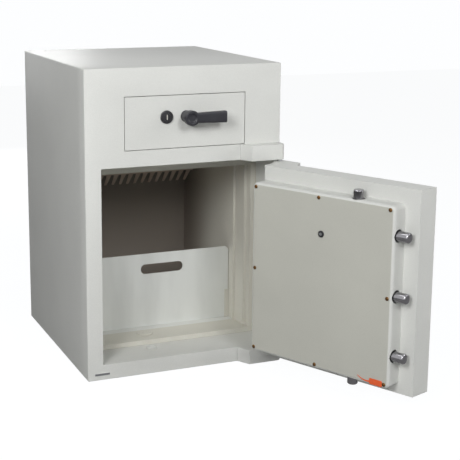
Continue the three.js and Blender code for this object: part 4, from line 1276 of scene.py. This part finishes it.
@dataclass
class SmallParts:
    """The grommet on the cover, the anchor plug, the orange tag and the maker's plate."""

    cabinet: Workshop
    door: Workshop
    grommet_lip: float = 0.7 * MM
    neck: float = 6.2 * MM
    bore: float = 3.6 * MM
    plug_hole: float = 2 * MM
    plug_pitch: float = 12 * MM
    plug_rim: float = 1.0 * MM
    plug_disc: float = 3 * MM
    stem: float = 5.7 * MM
    tag_width: float = 34 * MM
    tag_height: float = 14 * MM
    tag_corner: float = 3 * MM
    tag_edge: float = 0.2 * MM
    tail_root: float = 2.2 * MM
    tail_tip: float = 0.7 * MM
    tail_rise: float = 6 * MM
    tail_sag: float = 3 * MM
    plate_rim: float = 0.9 * MM
    plate_sink: float = 0.25 * MM

    def grommet(self) -> None:
        """A black ring with an eased lip, bored for the spindle's end."""
        low, high = self.door.space.span("spindle_grommet")
        _, cover = self.door.space.span("rear_cover")
        height = high[1] - low[1]
        lip = cover[1] + SEAT - low[1]
        corners = drums((self.neck, lip), ((high[0] - low[0]) / 2, height))
        x, _, z = middle = (low + high) / 2
        ring = revolved(softened(corners, self.grommet_lip)).shifted(x, low[1], z)
        hole = bar(self.bore, middle, 1, low[1] - height, high[1] + height)
        self.door.piece(
            "moulded_grommet", ring, "door", Finish.BLACK_LOCK, ["spindle_grommet"], cuts=[hole]
        )

    def anchor_plug(self) -> None:
        """A low disc on a stem, with two small holes."""
        low, high = self.cabinet.space.span("anchor_plug")
        height = high[2] - low[2]
        disc = self.plug_disc
        corners = drums((self.stem, height - disc), ((high[0] - low[0]) / 2, height))
        x, y, _ = (low + high) / 2
        plug = revolved(softened(corners, self.plug_rim)).laid(2).shifted(x, y, low[2])
        holes = [
            bar(self.plug_hole, (x + side, y, 0.0), 2, high[2] - disc, high[2] + disc)
            for side in (-self.plug_pitch / 2, self.plug_pitch / 2)
        ]
        self.cabinet.piece(
            "painted_anchor_plug", plug, "cabinet", Finish.INNER_PAINT, ["anchor_plug"], cuts=holes
        )

    def name_plate(self) -> None:
        """A small bare plate: a bright rim round a sunk dark field."""
        low, high = self.cabinet.space.span("name_plate")
        corner = (high[2] - low[2]) / 5
        rim, ease = self.plate_rim, self.plate_sink / 4
        inner_low = low + np.array([rim, -rim, rim])
        inner_high = np.array([high[0] - rim, low[1] + self.plate_sink, high[2] - rim])
        made = self.cabinet.piece(
            "rimmed_name_plate", slab(low, high, corner, 2 * ease), "cabinet", Finish.ZINC_SHEET,
            ["name_plate"], cuts=[slab(inner_low, inner_high, corner / 2, ease)],
        )
        field_high = (inner_high[0], high[1] - ease, inner_high[2])
        self.cabinet.repaint(made, Finish.PLATE_METAL, inner_low, field_high)

    def tag(self, along: int = 24) -> None:
        """A bare orange tag with eased edges, and a tail that tapers, sags and rises.

        The tail's middle at share s of its length L lies at (s L, rise s s - sag sin(pi s)), and
        its half width runs from the root's to the tip's.

        Args:
            along: Sections along the tail.
        """
        low, high = self.door.space.span("warning_tag")
        label_high = low + np.array([self.tag_width, high[1] - low[1], self.tag_height])
        label = slab(low, label_high, self.tag_corner, self.tag_edge, front=False)
        share = np.linspace(0.0, 1.0, along)
        start = label_high[0] - 2 * self.tag_corner
        x = start + (high[0] - start) * share
        middle = (low[2] + label_high[2]) / 2
        z = middle + self.tail_rise * share**2 - self.tail_sag * np.sin(math.pi * share)
        half = self.tail_root + (self.tail_tip - self.tail_root) * share
        front, rear = low[1] + self.tag_edge, high[1] - self.tag_edge
        edges = [
            np.stack([x, np.full(along, y), z + side * half], axis=-1)
            for y, side in ((front, -1), (front, 1), (rear, 1), (rear, -1))
        ]
        tail = lofted(np.stack(edges, axis=1))
        self.door.piece(
            "bare_tag", label, "door", Finish.ORANGE_TAG, ["warning_tag"], joins=[tail]
        )

    def build(self) -> None:
        """Makes the small parts."""
        self.tag()
        self.grommet()
        self.anchor_plug()
        self.name_plate()


@dataclass
class Studio:
    """Floor, lamps, world and the camera at the photograph's place."""

    focal_pixels: float = 1134.55
    centre_pixels: Pair = (195.0, 188.0)
    frame_pixels: float = 460.0
    sensor: float = 36.0
    clip_end: float = 50.0
    eye: Place = (-0.9928, -2.7523, 1.0021)
    right: Place = (0.92531282, -0.37917883, 0.00442665)
    down: Place = (-0.07184826, -0.18677, -0.97977283)
    ahead: Place = (0.37233588, 0.90627831, -0.20006401)
    aim: Place = (0.0, 0.0, 0.35)
    lamps: tuple[tuple[str, Place, float], ...] = (
        ("left_key", (-1.85, -2.2, 1.7), 45.0),
        ("right_key", (2.5, -1.5, 1.35), 17.0),
        ("back_fill", (0.2, 3.0, 0.9), 26.0),
        ("overhead_fill", (-0.7, 0.2, 2.9), 7.0),
        ("front_fill", (0.1, -3.4, 2.1), 42.0),
    )
    lamp_size: float = 1.0
    ambient: float = 0.05
    ambient_colour: Colour = (0.98, 0.99, 1.0)
    backdrop: Colour = (0.984, 0.992, 1.0)
    floor_half: float = 6.0
    floor_drop: float = 0.25 * MM
    floor_albedo: float = 0.45
    floor_shadow: float = 0.08
    floor_glow: float = 0.965
    floor_colour: Colour = (0.985, 0.993, 1.0)

    def camera(self) -> None:
        """Stands the camera where the photograph was taken from."""
        data = bpy.data.cameras.new("photograph")
        data.sensor_width = self.sensor
        data.lens = self.focal_pixels / self.frame_pixels * self.sensor
        data.shift_x = (self.frame_pixels / 2 - self.centre_pixels[0]) / self.frame_pixels
        data.shift_y = (self.centre_pixels[1] - self.frame_pixels / 2) / self.frame_pixels
        data.clip_end = self.clip_end
        camera = placed("photograph", data)
        right, down, ahead = (
            np.array(axis) / np.linalg.norm(axis) for axis in (self.right, self.down, self.ahead)
        )
        columns = np.eye(4)
        columns[:3] = np.stack([right, -down, -ahead, self.eye], axis=-1)
        camera.matrix_world = Matrix(columns.tolist())
        bpy.context.scene.camera = camera

    def lamp(self, name: str, place: Place, power: float) -> None:
        """Adds a square soft lamp aimed at the safe.

        Args:
            name: Its name.
            place: Where it stands.
            power: Its power in watts.
        """
        data = bpy.data.lights.new(name, "AREA")
        data.size = self.lamp_size
        data.energy = power
        lamp = placed(name, data)
        lamp.location = Vector(place)
        lamp.rotation_mode = "QUATERNION"
        lamp.rotation_quaternion = (Vector(self.aim) - Vector(place)).to_track_quat("-Z", "Y")

    def world(self) -> None:
        """A dim surround that the camera and mirrors see as white."""
        world = bpy.data.worlds.new("studio")
        bpy.context.scene.world = world
        sheet = ShaderSheet(world)
        seen: Number = 0.0
        for kind in ("Camera", "Glossy", "Transmission"):
            ray = sheet.node("ShaderNodeLightPath", output=f"Is {kind} Ray")
            seen = sheet.node("ShaderNodeMath", {0: seen, 1: ray}, operation="MAXIMUM")
        dim, white = (
            sheet.node("ShaderNodeBackground", {"Color": colour, "Strength": strength})
            for colour, strength in ((self.ambient_colour, self.ambient), (self.backdrop, 1.0))
        )
        mix = sheet.node("ShaderNodeMixShader", {0: seen, 1: dim, 2: white})
        sheet.node("ShaderNodeOutputWorld", {0: mix})

    def floor(self) -> None:
        """A white floor that keeps a faint shadow and sends little light back."""
        half = self.floor_half
        corners = np.array([(x, y, 0.0) for x, y in ((-1, -1), (1, -1), (1, 1), (-1, 1))]) * half
        plane = Surface(corners, [(0, 1, 2, 3)]).shifted(0.0, 0.0, -self.floor_drop)
        floor = blank("studio_floor", plane)
        sheet = ShaderSheet(bpy.data.materials.new("studio_floor"))
        seen = sheet.node("ShaderNodeLightPath", output="Is Camera Ray")
        paper, faint = (
            sheet.node("ShaderNodeBsdfDiffuse", {"Color": (level,) * 3})
            for level in (self.floor_albedo, self.floor_shadow)
        )
        light = {"Color": self.floor_colour, "Strength": self.floor_glow}
        glow = sheet.node("ShaderNodeEmission", light)
        both = sheet.node("ShaderNodeAddShader", {0: faint, 1: glow})
        mix = sheet.node("ShaderNodeMixShader", {0: seen, 1: paper, 2: both})
        sheet.node("ShaderNodeOutputMaterial", {0: mix})
        floor.data.materials.append(sheet.owner)

    def build(self) -> None:
        """Sets up the whole studio."""
        bpy.context.scene.view_settings.view_transform = "Standard"
        self.camera()
        for name, place, power in self.lamps:
            self.lamp(name, place, power)
        self.world()
        self.floor()


def main() -> None:
    """Builds the studio and every piece, in order."""
    logging.basicConfig(level=logging.INFO, format="%(name)s: %(message)s")
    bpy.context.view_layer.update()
    cabinet = Workshop(Space())
    door = Workshop(Space.of_door())
    Studio().build()
    cabinet.dress_nodes()
    Shell(cabinet).build()
    for level in ("upper", "lower"):
        HingeLeaf(cabinet).build(f"{level}_hinge_block", f"{level}_hinge_pin")
    Bolts(door).build()
    Lever(door).build("door_lever", "door_handle", "door_handle_turn", "door_slab")
    Lever(cabinet).build("drawer_lever", "drawer_handle", "drawer_handle_turn", "drawer_front")
    KeyLock(door).build("door_lock_barrel", "door", "door_key_plug", "door_key")
    KeyLock(cabinet).build("drawer_lock_barrel", "drawer", "drawer_key_plug", "drawer_key")
    CoverScrews(door).build()
    CoverPan(door).build()
    SmallParts(cabinet, door).build()


if __name__ == "__main__":
    main()
